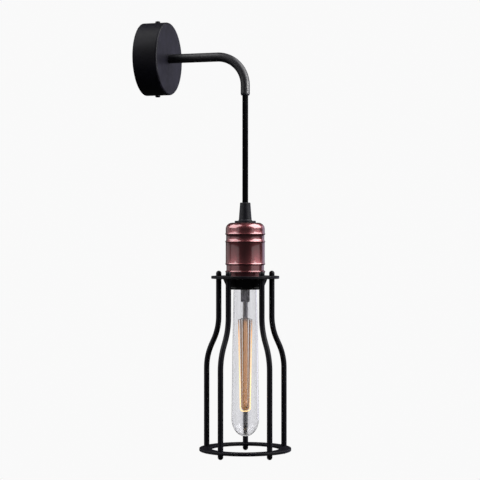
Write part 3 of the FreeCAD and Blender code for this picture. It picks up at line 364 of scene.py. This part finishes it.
def grain(tree, shader, place, size_mm, depth_mm, strength=1.0):
    """A fine relief of that grain, as a bump."""
    noise = add_node(tree, "ShaderNodeTexNoise", {"Vector": place, "Scale": per_metre(size_mm), "Detail": 2})
    bump = add_node(tree, "ShaderNodeBump", {"Height": noise.outputs["Fac"], "Distance": depth_mm * MM,
                                             "Strength": strength})
    tree.links.new(bump.outputs["Normal"], shader.inputs["Normal"])
    return bump


def gloss_drift(tree, shader, place, size_mm, low, high):
    """Roughness that changes a little over the surface, as from handling."""
    noise = add_node(tree, "ShaderNodeTexNoise", {"Vector": place, "Scale": per_metre(size_mm), "Detail": 4})
    spread = add_node(tree, "ShaderNodeMapRange", {"Value": noise.outputs["Fac"], "From Min": 0.3,
                                                   "From Max": 0.7, "To Min": low, "To Max": high})
    tree.links.new(spread.outputs["Result"], shader.inputs["Roughness"])


# %% [markdown]
# ### Powder coat
# The rose, arm and cage are steel with a black polyester powder baked on. Powder flows into a skin with
# a faint orange peel a few tenths of a millimetre across, and that peel is what breaks up its highlights.
# The rose is nearly matt, the arm satin, and the cage's coat lies between the two.


# %% Powder-coated steel
def powder_coat(name, sheen):
    finish, tree, shader, place = new_finish(name, 0.45, Specular_IOR_Level=sheen)
    mottle(tree, shader, place, "#0b0a10", "#100f17", 14)
    gloss_drift(tree, shader, place, 9, 0.4, 0.5)
    # The real peel is about 0.3 mm across; it is drawn at 0.8 mm so that it shows at all.
    grain(tree, shader, place, 0.8, 0.006, 0.15)
    return finish


# %% [markdown]
# ### Antique copper
# The cup is pressed steel, plated with copper, darkened and lacquered. The darkening leaves a deep
# wine red in the metal, and the thick clear lacquer lays a whiter, sharper highlight over it. The
# plating was brushed on a lathe, so very fine lines run round the cup.


# %% Antique copper plate
def antique_copper():
    finish, tree, shader, place = new_finish("antique_copper_plate", 0.4, metallic=1.0, Coat_Weight=1.0,
                                             Coat_Roughness=0.1, Coat_IOR=1.9)
    ramp = mottle(tree, shader, place, "#84484c", "#8c4c50", 9)
    ramp.color_ramp.elements[0].position = 0.3
    gloss_drift(tree, shader, place, 9, 0.36, 0.42)
    lines = add_node(tree, "ShaderNodeMapping", {"Vector": place, "Scale": (0.02, 0.02, 1.0)})
    noise = add_node(tree, "ShaderNodeTexNoise", {"Vector": lines.outputs["Vector"],
                                                  "Scale": per_metre(0.35), "Detail": 3})
    bump = add_node(tree, "ShaderNodeBump", {"Height": noise.outputs["Fac"], "Distance": 0.004 * MM,
                                             "Strength": 0.25})
    tree.links.new(bump.outputs["Normal"], shader.inputs["Normal"])
    return finish


# %% [markdown]
# ### Braid
# Cotton yarn scatters light inside its fibres, so a black braid has no hard highlight, only a soft
# sheen at the edges. The yarn's own fibres run along each carrier, which the UV map follows.


# %% Cotton braid
def cotton_braid(name, follows_uv):
    finish, tree, shader, place = new_finish(name, 0.95, Specular_IOR_Level=0.05, Sheen_Weight=0.03,
                                             Sheen_Roughness=0.5, Sheen_Tint=colour("#3a3a42"))
    mottle(tree, shader, place, "#030304", "#08080a", 1.2)
    if follows_uv:
        uv = add_node(tree, "ShaderNodeUVMap", uv_map="along").outputs["UV"]
        slant = add_node(tree, "ShaderNodeMapping", {"Vector": uv, "Scale": (CARRIERS_EACH_WAY * 4, 4, 1)})
        fibre = add_node(tree, "ShaderNodeTexWave", {"Vector": slant.outputs["Vector"], "Scale": 1.0,
                                                     "Distortion": 0.6}, bands_direction="DIAGONAL")
        height = fibre.outputs["Fac"]
    else:
        height = add_node(tree, "ShaderNodeTexVoronoi", {"Vector": place, "Scale": per_metre(1.4)})
        height = height.outputs["Distance"]
    bump = add_node(tree, "ShaderNodeBump", {"Height": height, "Distance": 0.06 * MM, "Strength": 0.6})
    tree.links.new(bump.outputs["Normal"], shader.inputs["Normal"])
    return finish


# %% [markdown]
# ### Plastics
# The grip, its washer and the arm's bush are moulded nylon, matt and even. The nut and the socket are
# phenolic, pressed hot in a polished mould, so they are glossier and show a faint flow in their black.
# The terminal block and the cord clamp are natural white nylon, and the cores are PVC.


# %% Moulded nylon, phenolic and PVC
def black_nylon():
    finish, tree, shader, place = new_finish("moulded_black_nylon", 0.5, Specular_IOR_Level=0.3)
    mottle(tree, shader, place, "#0f0f16", "#15151e", 6)
    grain(tree, shader, place, 0.5, 0.015, 0.5)
    return finish


def black_phenolic():
    finish, tree, shader, place = new_finish("pressed_phenolic", 0.3, Specular_IOR_Level=0.35)
    mottle(tree, shader, place, "#08080a", "#101013", 10, detail=6)
    gloss_drift(tree, shader, place, 6, 0.25, 0.38)
    grain(tree, shader, place, 1.5, 0.01, 0.3)
    return finish


def white_nylon():
    finish, tree, shader, place = new_finish("natural_white_nylon", 0.45, Subsurface_Weight=0.15,
                                             Subsurface_Scale=0.002)
    mottle(tree, shader, place, "#e4e2da", "#efeee8", 8)
    grain(tree, shader, place, 0.6, 0.015, 0.4)
    return finish


def pvc_core(name, dark, light, stripe=None):
    finish, tree, shader, place = new_finish(name, 0.4)
    ramp = mottle(tree, shader, place, dark, light, 3)
    if stripe:
        # Green and yellow run along the core in two bands, so that it can't be taken for another.
        wave = add_node(tree, "ShaderNodeTexWave",
                        {"Vector": place, "Scale": per_metre(12), "Distortion": 0.0}, bands_direction="Y")
        band = add_node(tree, "ShaderNodeMapRange",
                        {"Value": wave.outputs["Fac"], "From Min": 0.45, "From Max": 0.55})
        mix = add_node(tree, "ShaderNodeMix", {"Factor": band.outputs["Result"], "A": ramp.outputs["Color"],
                                               "B": colour(stripe)}, data_type="RGBA")
        tree.links.new(mix.outputs["Result"], shader.inputs["Base Color"])
    grain(tree, shader, place, 0.7, 0.01, 0.3)
    return finish


# %% [markdown]
# ### Bare and plated metals
# Bracket and screws are zinc plated and passivated, which leaves a bluish grey with pale, cloudy
# crystals. Terminals, strips and the screw shell are brass, the bulb's cap is nickel on brass.


# %% Zinc, brass, nickel, solder and black oxide
def plated(name, dark, light, patch_mm, low, high, metallic=1.0):
    finish, tree, shader, place = new_finish(name, low, metallic=metallic)
    mottle(tree, shader, place, dark, light, patch_mm, detail=5)
    gloss_drift(tree, shader, place, patch_mm / 2, low, high)
    grain(tree, shader, place, 0.4, 0.008, 0.4)
    return finish


# %% [markdown]
# ### Glass
# The envelope is soda-lime glass, blown thin and a little grey, with a faint haze that softens what
# stands behind it. The stem inside is lead glass, pressed flat round the lead wires while it was soft,
# and the cap's top is the black glass that keeps its two contacts apart.


# %% Envelope, stem, rod and cap glass
GLASS_HAZE = 0.1
GLASS_DRIFT = 1.02


def clear_glass(name, tint):
    finish, tree, shader, place = new_finish(name, GLASS_HAZE, Transmission_Weight=1.0, IOR=1.45)
    drift = mottle(tree, shader, place, tint, tint, 30)
    drift.color_ramp.elements[1].color = [min(1.0, c * GLASS_DRIFT) for c in colour(tint)[:3]] + [1.0]
    return finish


def pressed_stem_glass():
    finish, tree, shader, place = new_finish("pressed_lead_glass", 0.25, Transmission_Weight=0.55, IOR=1.55)
    mottle(tree, shader, place, "#3c373f", "#625c66", 2)
    grain(tree, shader, place, 2, 0.1, 0.5)
    return finish


def cap_glass():
    finish, tree, shader, place = new_finish("black_cap_glass", 0.08)
    mottle(tree, shader, place, "#0c0c10", "#15151b", 5)
    grain(tree, shader, place, 3, 0.05, 0.3)
    return finish


# %% [markdown]
# ### Filament
# A carbon filament glows brown at the hooks that hold it and cool it, amber soon below them, and pale
# yellow from there to its foot. The glow is an emission whose colour follows the height along the run.
# One hairpin of the three is hot and the other two glow dimly, so there are two such finishes.


# %% Glowing carbon
def glowing_carbon(name, cool, warm, hot, strength):
    finish, tree, shader, place = new_finish(name, 0.8)
    mottle(tree, shader, place, "#2a1a10", "#3a2415", 1)
    height = add_node(tree, "ShaderNodeSeparateXYZ", {"Vector": place}).outputs["Z"]
    low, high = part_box("bulb_filament")
    along = add_node(tree, "ShaderNodeMapRange", {"Value": height, "From Min": high.z, "From Max": low.z})
    ramp = add_node(tree, "ShaderNodeValToRGB", {"Fac": along.outputs["Result"]})
    ramp.color_ramp.elements[0].color = colour(cool)
    ramp.color_ramp.elements[1].color = colour(hot)
    ramp.color_ramp.elements[1].position = 0.6
    middle = ramp.color_ramp.elements.new(0.15)
    middle.color = colour(warm)
    tree.links.new(ramp.outputs["Color"], shader.inputs["Emission Color"])
    shader.inputs["Emission Strength"].default_value = strength
    return finish


# %% Put the finishes on the nodes
finishes = {
    "black_powder_coat": powder_coat("powder_coated_steel", 0.2),
    "antique_copper": antique_copper(),
    "zinc_steel": plated("zinc_plated_steel", "#9a9ca3", "#b9bbc0", 4, 0.28, 0.42),
    "black_steel_screw": plated("black_oxide_steel", "#1a1a1c", "#26262a", 3, 0.35, 0.5, metallic=0.8),
    "black_nylon": black_nylon(),
    "black_bakelite": black_phenolic(),
    "white_nylon": white_nylon(),
    "brass": plated("rolled_brass", "#b9924e", "#cda765", 5, 0.22, 0.36),
    "black_braid": cotton_braid("cotton_braid_in_arm", False),
    "brown_core": pvc_core("brown_pvc", "#4a2a17", "#57331d"),
    "blue_core": pvc_core("blue_pvc", "#1c4f96", "#2560ab"),
    "green_yellow_core": pvc_core("green_and_yellow_pvc", "#3f8a2e", "#4c9a38", stripe="#e3c52c"),
    "clear_glass": clear_glass("soda_lime_glass", "#ececee"),
    "stem_glass": pressed_stem_glass(),
    "black_cap_glass": cap_glass(),
    "nickel_cap": plated("nickel_plated_brass", "#b4b1aa", "#cbc8c0", 6, 0.2, 0.32),
    "lead_wire": plated("dumet_wire", "#4b4642", "#6a625b", 2, 0.35, 0.5),
    "carbon_filament": glowing_carbon("glowing_carbon", "#5a3820", "#d8984c", "#ffd690", 2.0),
}
slot_of = {sub["node"]: sub["material_slot"] for sub in frame["record"]["subparts"]}


def wear(piece, finish):
    """The piece has this one finish all over."""
    piece.data.materials.clear()
    piece.data.materials.append(finish)


for node_name, node_object in nodes.items():
    wear(node_object, finishes[slot_of[node_name]])
wear(nodes["rose_cover"], powder_coat("matt_powder_coat", 0.12))
wear(nodes["arm_tube"], powder_coat("satin_powder_coat", 0.6))
wear(cord, cotton_braid("cotton_braid", True))
print("finishes", len(finishes))

# %% [markdown]
# ## Turned pieces
# The cup, the bulb and the nut are all round, made on a lathe, a spinning press or a glass lathe. By
# hand one draws a circle and extrudes it ring by ring along the outline, scaling each new ring. The
# same operators do it here, and a Solidify modifier then gives the thin ones their wall.


# %% Rings along an outline
def arc(middle_r, middle_z, radius, start, end, steps):
    """Points of an outline's round stretch, with angles in degrees from +radius to +height."""
    points = []
    for i in range(steps + 1):
        angle = math.radians(start + (end - start) * i / steps)
        points.append((middle_r + radius * math.cos(angle), middle_z + radius * math.sin(angle)))
    return points


def straight(start, end, steps):
    """Points of an outline's straight stretch, without the first."""
    return [(start[0] + (end[0] - start[0]) * (i / steps), start[1] + (end[1] - start[1]) * (i / steps))
            for i in range(1, steps + 1)]


def ring_by_ring(name, line, segments=96):
    """Extrudes a circle along an outline of (radius, height) in millimetres about the hang line."""
    deselect()
    first_r, first_z = line[0]
    bpy.ops.mesh.primitive_circle_add(vertices=segments, radius=first_r * MM, fill_type="NOTHING",
                                      location=(hang_x, hang_y, first_z * MM))
    piece = bpy.context.object
    piece.name = name
    bpy.ops.object.mode_set(mode="EDIT")
    bpy.ops.mesh.select_all(action="SELECT")
    for (before_r, before_z), (r, z) in zip(line, line[1:]):
        bpy.ops.mesh.extrude_edges_move(TRANSFORM_OT_translate={"value": (0, 0, (z - before_z) * MM)})
        if r == 0:
            bpy.ops.mesh.merge(type="CENTER")
        else:
            grow = r / before_r
            bpy.ops.transform.resize(value=(grow, grow, 1), center_override=(hang_x, hang_y, z * MM))
    bpy.ops.object.mode_set(mode="OBJECT")
    bpy.ops.object.transform_apply(location=True, rotation=True, scale=True)
    return piece


def outward_faces(piece):
    choose(piece)
    bpy.ops.object.mode_set(mode="EDIT")
    bpy.ops.mesh.select_all(action="SELECT")
    bpy.ops.mesh.normals_make_consistent(inside=False)
    bpy.ops.object.mode_set(mode="OBJECT")


def give_wall(piece, thickness_mm):
    """Thickens an open shell inwards and applies it."""
    outward_faces(piece)
    solidify = piece.modifiers.new("wall", "SOLIDIFY")
    solidify.thickness = thickness_mm * MM
    solidify.offset = -1
    bpy.ops.object.modifier_apply(modifier=solidify.name)


def close_ring_stack(piece):
    """Joins the first and last ring of an outline that comes back to its start."""
    choose(piece)
    bpy.ops.object.mode_set(mode="EDIT")
    bpy.ops.mesh.select_all(action="SELECT")
    bpy.ops.mesh.region_to_loop()
    bpy.ops.mesh.bridge_edge_loops()
    bpy.ops.object.mode_set(mode="OBJECT")
    outward_faces(piece)


def smooth(piece, degrees=35):
    choose(piece)
    bpy.ops.object.shade_smooth_by_angle(angle=math.radians(degrees))


def fit_out(piece, body, slot, *replaced, finish=None):
    """Gives a new piece its finish, its body and the nodes that it stands for."""
    wear(piece, finish or finishes[slot])
    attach(piece, body)
    if replaced:
        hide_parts(*replaced)
    print(piece.name, "faces", len(piece.data.polygons))


# %% [markdown]
# ## Copper cup
# The cup is spun from thin sheet. Its outline has a soft shoulder, a pair of rolled beads close under
# it and a second pair like it at the foot, with a slightly deeper groove between them. Each bead is
# drawn as a smooth swell, because a rolled bead has no corner, and the highlights run along its crown.

# %% Cup outline
CUP_RADIUS = 21.25
CUP_FOOT_RADIUS = 20.75
CUP_WALL = 0.9
CUP_HOLE_RADIUS = 4.95
SHOULDER_RADIUS = 7.0
BEAD_HEIGHT = 2.6
UPPER_BEADS = (12.3, 20.5)
LOWER_BEADS = (44.9, 53.1)
BEAD_SWELL = 0.5
BEAD_ROUNDNESS = 1.2
UPPER_GROOVE = 0.45
LOWER_GROOVE = 0.8
STEPS_PER_BEAD = 8
CUP_RIM = ((CUP_RADIUS - 0.1, 2.2), (CUP_FOOT_RADIUS, 0.6), (CUP_FOOT_RADIUS, 0))    # height above the foot

cup_top = cup_high.z / MM
cup_foot = cup_low.z / MM


def beads(places, groove):
    """A pair of swells with a groove between them, as (radius, height)."""
    points = []
    first, second = places
    half = BEAD_HEIGHT / 2
    for middle, above, below in ((first, 0, groove), (second, groove, 0)):
        for i in range(STEPS_PER_BEAD + 1):
            share = i / STEPS_PER_BEAD
            base = above + (below - above) * (0.5 - 0.5 * math.cos(math.pi * share))
            crown = (BEAD_SWELL + base) * math.sin(math.pi * share) ** BEAD_ROUNDNESS
            points.append((CUP_RADIUS - base + crown, cup_top - middle + half - BEAD_HEIGHT * share))
    return points


cup_line = [(CUP_HOLE_RADIUS, cup_top), (CUP_RADIUS - SHOULDER_RADIUS, cup_top)]
cup_line += arc(CUP_RADIUS - SHOULDER_RADIUS, cup_top - SHOULDER_RADIUS, SHOULDER_RADIUS, 80, 0, 10)
cup_line += beads(UPPER_BEADS, UPPER_GROOVE)
cup_line += beads(LOWER_BEADS, LOWER_GROOVE)
cup_line += [(r, cup_foot + rise) for r, rise in CUP_RIM]
print("cup outline", len(cup_line), "rings")

# %% Cup
cup = ring_by_ring("copper_cup", cup_line, segments=128)
give_wall(cup, CUP_WALL)
smooth(cup, 50)
fit_out(cup, "lampholder", "antique_copper", "holder_cup")

# %% [markdown]
# ## Ring nut and socket skirt
# The nut that clamps the cage is a tapered phenolic ring with a milled edge for the fingers. It is
# turned as a ring, and the milling is a wave of its radius round the upper half. Under it the
# socket's thread shows for a millimetre or two, so a few turns of rounded thread are added there.

# %% Nut
NUT_TOP_RADIUS = 23.9
NUT_LOW_RADIUS = 21.0
NUT_BORE = 19.82
NUT_EDGE_ROUND = 0.4
NUT_FOOT_ROUND = 0.8
NUT_TAPER_TOP = (NUT_TOP_RADIUS - 0.15, 1.4)        # radius, and depth below the top
NUT_TAPER_FOOT = (NUT_LOW_RADIUS, 0.9)              # radius, and height above the foot
NUT_RIBS = 60
NUT_RIB_DEPTH = 0.22
RIBS_FROM, RIBS_RISE = 0.12, 0.15                   # shares of the nut's height
RIBS_TO, RIBS_FALL = 0.97, 0.08

nut_low, nut_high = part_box("ring_nut")
nut_top = nut_high.z / MM
nut_foot = nut_low.z / MM
taper_top = (NUT_TAPER_TOP[0], nut_top - NUT_TAPER_TOP[1])
taper_foot = (NUT_TAPER_FOOT[0], nut_foot + NUT_TAPER_FOOT[1])
nut_line = [(NUT_BORE, nut_top), (NUT_TOP_RADIUS - NUT_EDGE_ROUND, nut_top)]
nut_line += arc(NUT_TOP_RADIUS - NUT_EDGE_ROUND, nut_top - NUT_EDGE_ROUND, NUT_EDGE_ROUND, 75, 0, 4)
nut_line += [taper_top] + straight(taper_top, taper_foot, 8)
nut_line += arc(NUT_LOW_RADIUS - NUT_FOOT_ROUND, nut_foot + NUT_FOOT_ROUND, NUT_FOOT_ROUND, -20, -90, 4)
nut_line += [(NUT_BORE, nut_foot)]
nut = ring_by_ring("milled_ring_nut", nut_line, segments=NUT_RIBS * 6)
close_ring_stack(nut)
for vertex in nut.data.vertices:
    flat = Vector((vertex.co.x - hang_x, vertex.co.y - hang_y))
    if flat.length < (NUT_BORE + 0.5) * MM:
        continue
    height = (vertex.co.z / MM - nut_foot) / (nut_top - nut_foot)
    fade = (max(0.0, min(1.0, (height - RIBS_FROM) / RIBS_RISE))
            * max(0.0, min(1.0, (RIBS_TO - height) / RIBS_FALL)))
    wave = 0.5 - 0.5 * math.cos(NUT_RIBS * math.atan2(flat.y, flat.x))
    shrink = 1 - NUT_RIB_DEPTH * MM * fade * wave / flat.length
    vertex.co.x = hang_x + flat.x * shrink
    vertex.co.y = hang_y + flat.y * shrink
smooth(nut, 40)
fit_out(nut, "lampholder", "black_bakelite", "ring_nut")

# %% Socket thread below the nut
THREAD_ROOT = 19.6
THREAD_CREST = 19.98
THREAD_PITCH = 2.5
THREAD_WALL = 0.3
THREAD_STEPS = 12
thread_line = []
thread_top = nut_foot - 0.15
thread_foot = nut_foot - 2.75
for i in range(THREAD_STEPS + 1):
    share = i / THREAD_STEPS
    wave = math.sin(math.pi * (thread_top - thread_foot) / THREAD_PITCH * share) ** 2
    thread_line.append((THREAD_ROOT + (THREAD_CREST - THREAD_ROOT) * wave,
                        thread_top + (thread_foot - thread_top) * share))
thread = ring_by_ring("socket_thread", thread_line, segments=96)
give_wall(thread, THREAD_WALL)
smooth(thread, 60)
fit_out(thread, "lampholder", "black_bakelite")

# %% [markdown]
# ## Bulb
# The envelope is a long tube of glass, drawn in to the cap at the top and blown round at its foot.
# Real blown glass has a thin, even wall, and that wall is what makes the two dark edges in the
# photograph, so it is modelled as a shell and not as a solid.

# %% Envelope
glass_low, glass_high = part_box("bulb_glass")
glass_top = glass_high.z / MM
glass_foot = glass_low.z / MM
NECK_FOOT = -242.5
NECK_RADIUS = 11.3
SHOULDER_GLASS = (12.6, -253.6)
WAIST_GLASS = (13.9, -319.6)
FULL_RADIUS = 14.9
DOME_DEPTH = 19.0
DOME_STEPS = 16
NECK_STEPS = 6
GLASS_WALL = 0.9

full_z = glass_foot + DOME_DEPTH
envelope_line = [(NECK_RADIUS, glass_top), (NECK_RADIUS, NECK_FOOT)]
for i in range(1, NECK_STEPS + 1):
    share = i / NECK_STEPS
    ease = math.sin(math.pi / 2 * share)
    envelope_line.append((NECK_RADIUS + (SHOULDER_GLASS[0] - NECK_RADIUS) * ease,
                          NECK_FOOT + (SHOULDER_GLASS[1] - NECK_FOOT) * share))
envelope_line += straight(SHOULDER_GLASS, WAIST_GLASS, 8)
envelope_line += straight(WAIST_GLASS, (FULL_RADIUS, full_z), 8)
for i in range(1, DOME_STEPS):
    angle = math.pi / 2 * i / DOME_STEPS
    envelope_line.append((FULL_RADIUS * math.cos(angle), full_z - DOME_DEPTH * math.sin(angle)))
envelope_line.append((0, glass_foot))
envelope = ring_by_ring("blown_envelope", envelope_line, segments=96)
give_wall(envelope, GLASS_WALL)
smooth(envelope, 60)
fit_out(envelope, "bulb", "clear_glass", "bulb_glass")

# %% [markdown]
# ## Stem
# Inside, a flared tube of lead glass is fused to the neck. Its lower end was pinched flat in a press
# round the lead wires, which leaves upright ridges where the jaws gripped. A cylinder is extruded ring
# by ring, its lower rings are flattened towards the pinch, its side is fluted, and its lowest edge is
# left as ragged as the jaws left it.

# %% Stem with its pinch
stem_low, stem_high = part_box("bulb_stem")
stem_top = stem_high.z / MM
stem_foot = stem_low.z / MM
STEM_RADIUS = 5.0
FLARE_RADIUS = 10.3
FLARE_ROUND = 3.0
PINCH_HEIGHT = 15.0
PINCH_SQUEEZE = 0.6
FLUTES = 12
FLUTE_DEPTH = 0.7
RAGGED_EDGE = 0.8
RAGGED_WAVES = 5
PINCH_GROWTH = 1.6
STEM_EDGE = 0.5

stem_line = [(FLARE_RADIUS, stem_top), (FLARE_RADIUS, stem_top - 0.9)]
stem_line += arc(STEM_RADIUS + FLARE_ROUND, stem_top - 1 - FLARE_ROUND, FLARE_ROUND, 90, 180, 6)
stem_line += straight(stem_line[-1], (STEM_RADIUS, stem_foot + STEM_EDGE), 16)
stem_line += [(STEM_RADIUS - 0.4, stem_foot), (0, stem_foot)]
stem = ring_by_ring("pinched_stem", stem_line, segments=FLUTES * 8)
outward_faces(stem)
pinch_start = stem_foot + PINCH_HEIGHT
for vertex in stem.data.vertices:
    flat_x = vertex.co.x - hang_x
    flat_y = vertex.co.y - hang_y
    down = (pinch_start - vertex.co.z / MM) / PINCH_HEIGHT
    ease = max(0.0, min(1.0, down * PINCH_GROWTH))
    ease = ease * ease * (3 - 2 * ease)
    around = math.atan2(flat_y, flat_x)
    flute = 1 - FLUTE_DEPTH / STEM_RADIUS * ease * (0.5 + 0.5 * math.cos(FLUTES * around))
    vertex.co.x = hang_x + flat_x * flute * (1 - (1 - PINCH_SQUEEZE) * ease)
    vertex.co.y = hang_y + flat_y * flute
    if vertex.co.z < (stem_foot + STEM_EDGE + 0.1) * MM:
        vertex.co.z += RAGGED_EDGE * MM * (0.5 + 0.5 * math.sin(RAGGED_WAVES * around + 1))
choose(stem)
bpy.ops.object.mode_set(mode="EDIT")
bpy.ops.mesh.select_all(action="SELECT")
bpy.ops.mesh.region_to_loop()
bpy.ops.mesh.edge_face_add()
bpy.ops.object.mode_set(mode="OBJECT")
smooth(stem, 50)
fit_out(stem, "bulb", "stem_glass", "bulb_stem")

# %% [markdown]
# ## Filament
# The filament is not a plain wire but a fine coil, wound and then bent into long hairpins that hang
# from hooks at the top and cross under the glass rod. Each hairpin's line is drawn first, and the
# coil is then wound about it point by point, with its frame carried along so that it never twists.

# %% Hairpin lines
HAIRPINS = 3
TOP_RADIUS = 7.3
FOOT_RADIUS = 5.4
FOOT_ROUND = 3.0
HAIRPIN_STEP = 2.4
COIL_WIRE = 0.19
HOT_COIL_RADIUS = 0.45
DIM_COIL_RADIUS = 0.75
COIL_PITCH = 0.55
COIL_POINTS = 8

filament_top = -287.0
filament_foot = -386.0


def hairpin_line(number):
    """Down one side, round the foot and up the other, as points in millimetres about the rod."""
    foot = filament_foot + HAIRPIN_STEP * (HAIRPINS - 1 - number)
    lean = math.atan2(TOP_RADIUS - FOOT_RADIUS, filament_top - foot)
    top = (TOP_RADIUS, filament_top)
    down = [top] + straight(top, (FOOT_RADIUS, foot + FOOT_ROUND), 60)
    bend_r = FOOT_RADIUS - FOOT_ROUND
    bend = arc(bend_r, foot + FOOT_ROUND, FOOT_ROUND, -math.degrees(lean), -90, 8)
    half = down + bend[1:] + straight((bend_r, foot), (0, foot), 4)
    other = [(-r, z) for r, z in reversed(half[:-1])]
    turn = math.pi * number / HAIRPINS
    return [Vector((r * math.cos(turn), r * math.sin(turn), z)) for r, z in half + other]


def evenly(points, step):
    """The same line with points that far apart."""
    spread = [points[0]]
    left = step
    for start, end in zip(points, points[1:]):
        run = end - start
        length = run.length
        place = left
        while place <= length:
            spread.append(start + run * (place / length))
            place += step
        left = place - length
    return spread


def coil_about(points, coil_radius):
    """A coil that follows the line, in millimetres."""
    step = COIL_PITCH / COIL_POINTS
    centre = evenly(points, step)
    side = Vector((-points[0].y, points[0].x, 0)).normalized()
    coil = []
    for i, place in enumerate(centre[:-1]):
        ahead = (centre[i + 1] - place).normalized()
        side = (side - ahead * side.dot(ahead)).normalized()
        other = ahead.cross(side)
        angle = 2 * math.pi * i / COIL_POINTS
        coil.append(place + (side * math.cos(angle) + other * math.sin(angle)) * coil_radius)
    return coil


def wire_piece(name, lines, thickness_mm, sides=2):
    """One mesh of round wires along lines of points, given about the hang line in millimetres."""
    curve = bpy.data.curves.new(name, "CURVE")
    curve.dimensions = "3D"
    curve.bevel_depth = thickness_mm / 2 * MM
    curve.bevel_resolution = sides
    curve.use_fill_caps = True
    for line in lines:
        spline = curve.splines.new("POLY")
        spline.points.add(len(line) - 1)
        for spline_point, place in zip(spline.points, line):
            spline_point.co = (hang_x + place.x * MM, hang_y + place.y * MM, place.z * MM, 1)
    wires = bpy.data.objects.new(name, curve)
    bpy.context.scene.collection.objects.link(wires)
    choose(wires)
    bpy.ops.object.convert(target="MESH")
    made = bpy.context.object
    made.name = name
    return made


# %% Coiled hairpins
dim_carbon = glowing_carbon("dim_carbon", "#6e4a30", "#a0703c", "#c4843c", 0.6)
for number in range(HAIRPINS):
    hottest = number == HAIRPINS - 1
    coil = coil_about(hairpin_line(number), HOT_COIL_RADIUS if hottest else DIM_COIL_RADIUS)
    hairpin = wire_piece("filament_coil_%d" % (number + 1), [coil], COIL_WIRE * 2, sides=1)
    smooth(hairpin, 80)
    fit_out(hairpin, "bulb", "carbon_filament", finish=finishes["carbon_filament"] if hottest else dim_carbon)
    if hottest:
        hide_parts("bulb_filament")

# %% Hooks and lead wires
HOOK_WIRE = 0.55
ROD_RADIUS = 2.15
EYE_RADIUS = 0.75
EYE_RISE = 0.4
# Along one hook: distance from the rod's middle, and height above the top of the hairpins.
HOOK_LINE = ((ROD_RADIUS * 0.8, 1.6), (ROD_RADIUS + 1.2, 1.8), (TOP_RADIUS - 1.6, 0.9))
# Along the hook at the foot: distance from the rod's middle, and height above its own level.
FOOT_HOOK_LINE = ((0, 2.2), (0, 0.4), (0.9, -0.3), (0.9, -1.1))
FOOT_HOOK_RISE = 0.35
hooks = []
for i in range(2 * HAIRPINS):
    turn = math.pi * i / HAIRPINS
    out = Vector((math.cos(turn), math.sin(turn), 0))
    aside = Vector((-out.y, out.x, 0))
    line = [out * r + Vector((0, 0, filament_top + rise)) for r, rise in HOOK_LINE]
    for a in range(0, 271, 30):
        angle = math.radians(a)
        line.append(out * (TOP_RADIUS - EYE_RADIUS * math.cos(angle)) + aside * (EYE_RADIUS * math.sin(angle))
                    + Vector((0, 0, filament_top + EYE_RISE)))
    hooks.append(line)
hook_foot = filament_foot + HAIRPIN_STEP * (HAIRPINS - 1) + FOOT_HOOK_RISE
hooks.append([Vector((x, 0, hook_foot + rise)) for x, rise in FOOT_HOOK_LINE])
hook_piece = wire_piece("filament_hooks", hooks, HOOK_WIRE, sides=3)
smooth(hook_piece, 60)
fit_out(hook_piece, "bulb", "lead_wire", "filament_supports")

# %% [markdown]
# ## Rod
# The glass rod that carries the hooks glows amber where it lies between the hot runs, as its glass picks
# up their light from inside. That light is painted: the rod's base colour turns from clear grey above the
# hooks to warm below them, and a weak emission there is a painted glow.

# %% Rod with a painted glow
ROD_BLEND = 3
ROD_PAINTED_EMISSION = 0.3
rod_finish, rod_tree, rod_shader, rod_place = new_finish("glass_rod_with_painted_glow", 0.12,
                                                         Transmission_Weight=0.35, IOR=1.5)
rod_height = add_node(rod_tree, "ShaderNodeSeparateXYZ", {"Vector": rod_place}).outputs["Z"]
rod_painted_glow_share = add_node(rod_tree, "ShaderNodeMapRange",
                     {"Value": rod_height, "From Min": (filament_top + ROD_BLEND) * MM,
                      "From Max": (filament_top - ROD_BLEND) * MM}).outputs["Result"]
# Painted glow: below the hooks the base colour turns warm and the glass gets a weak emission, in place of the
# filament's light.
rod_painted_warmth_ramp = add_node(rod_tree, "ShaderNodeValToRGB", {"Fac": rod_painted_glow_share})
rod_painted_warmth_ramp.color_ramp.elements[0].color = colour("#6d6a70")
rod_painted_warmth_ramp.color_ramp.elements[1].color = colour("#c79a72")
rod_painted_emission = add_node(rod_tree, "ShaderNodeMath", {0: rod_painted_glow_share, 1: ROD_PAINTED_EMISSION}, operation="MULTIPLY")
rod_tree.links.new(rod_painted_warmth_ramp.outputs["Color"], rod_shader.inputs["Base Color"])
rod_tree.links.new(rod_painted_warmth_ramp.outputs["Color"], rod_shader.inputs["Emission Color"])
rod_tree.links.new(rod_painted_emission.outputs["Value"], rod_shader.inputs["Emission Strength"])
grain(rod_tree, rod_shader, rod_place, 2, 0.05, 0.4)
wear(nodes["bulb_rod"], rod_finish)
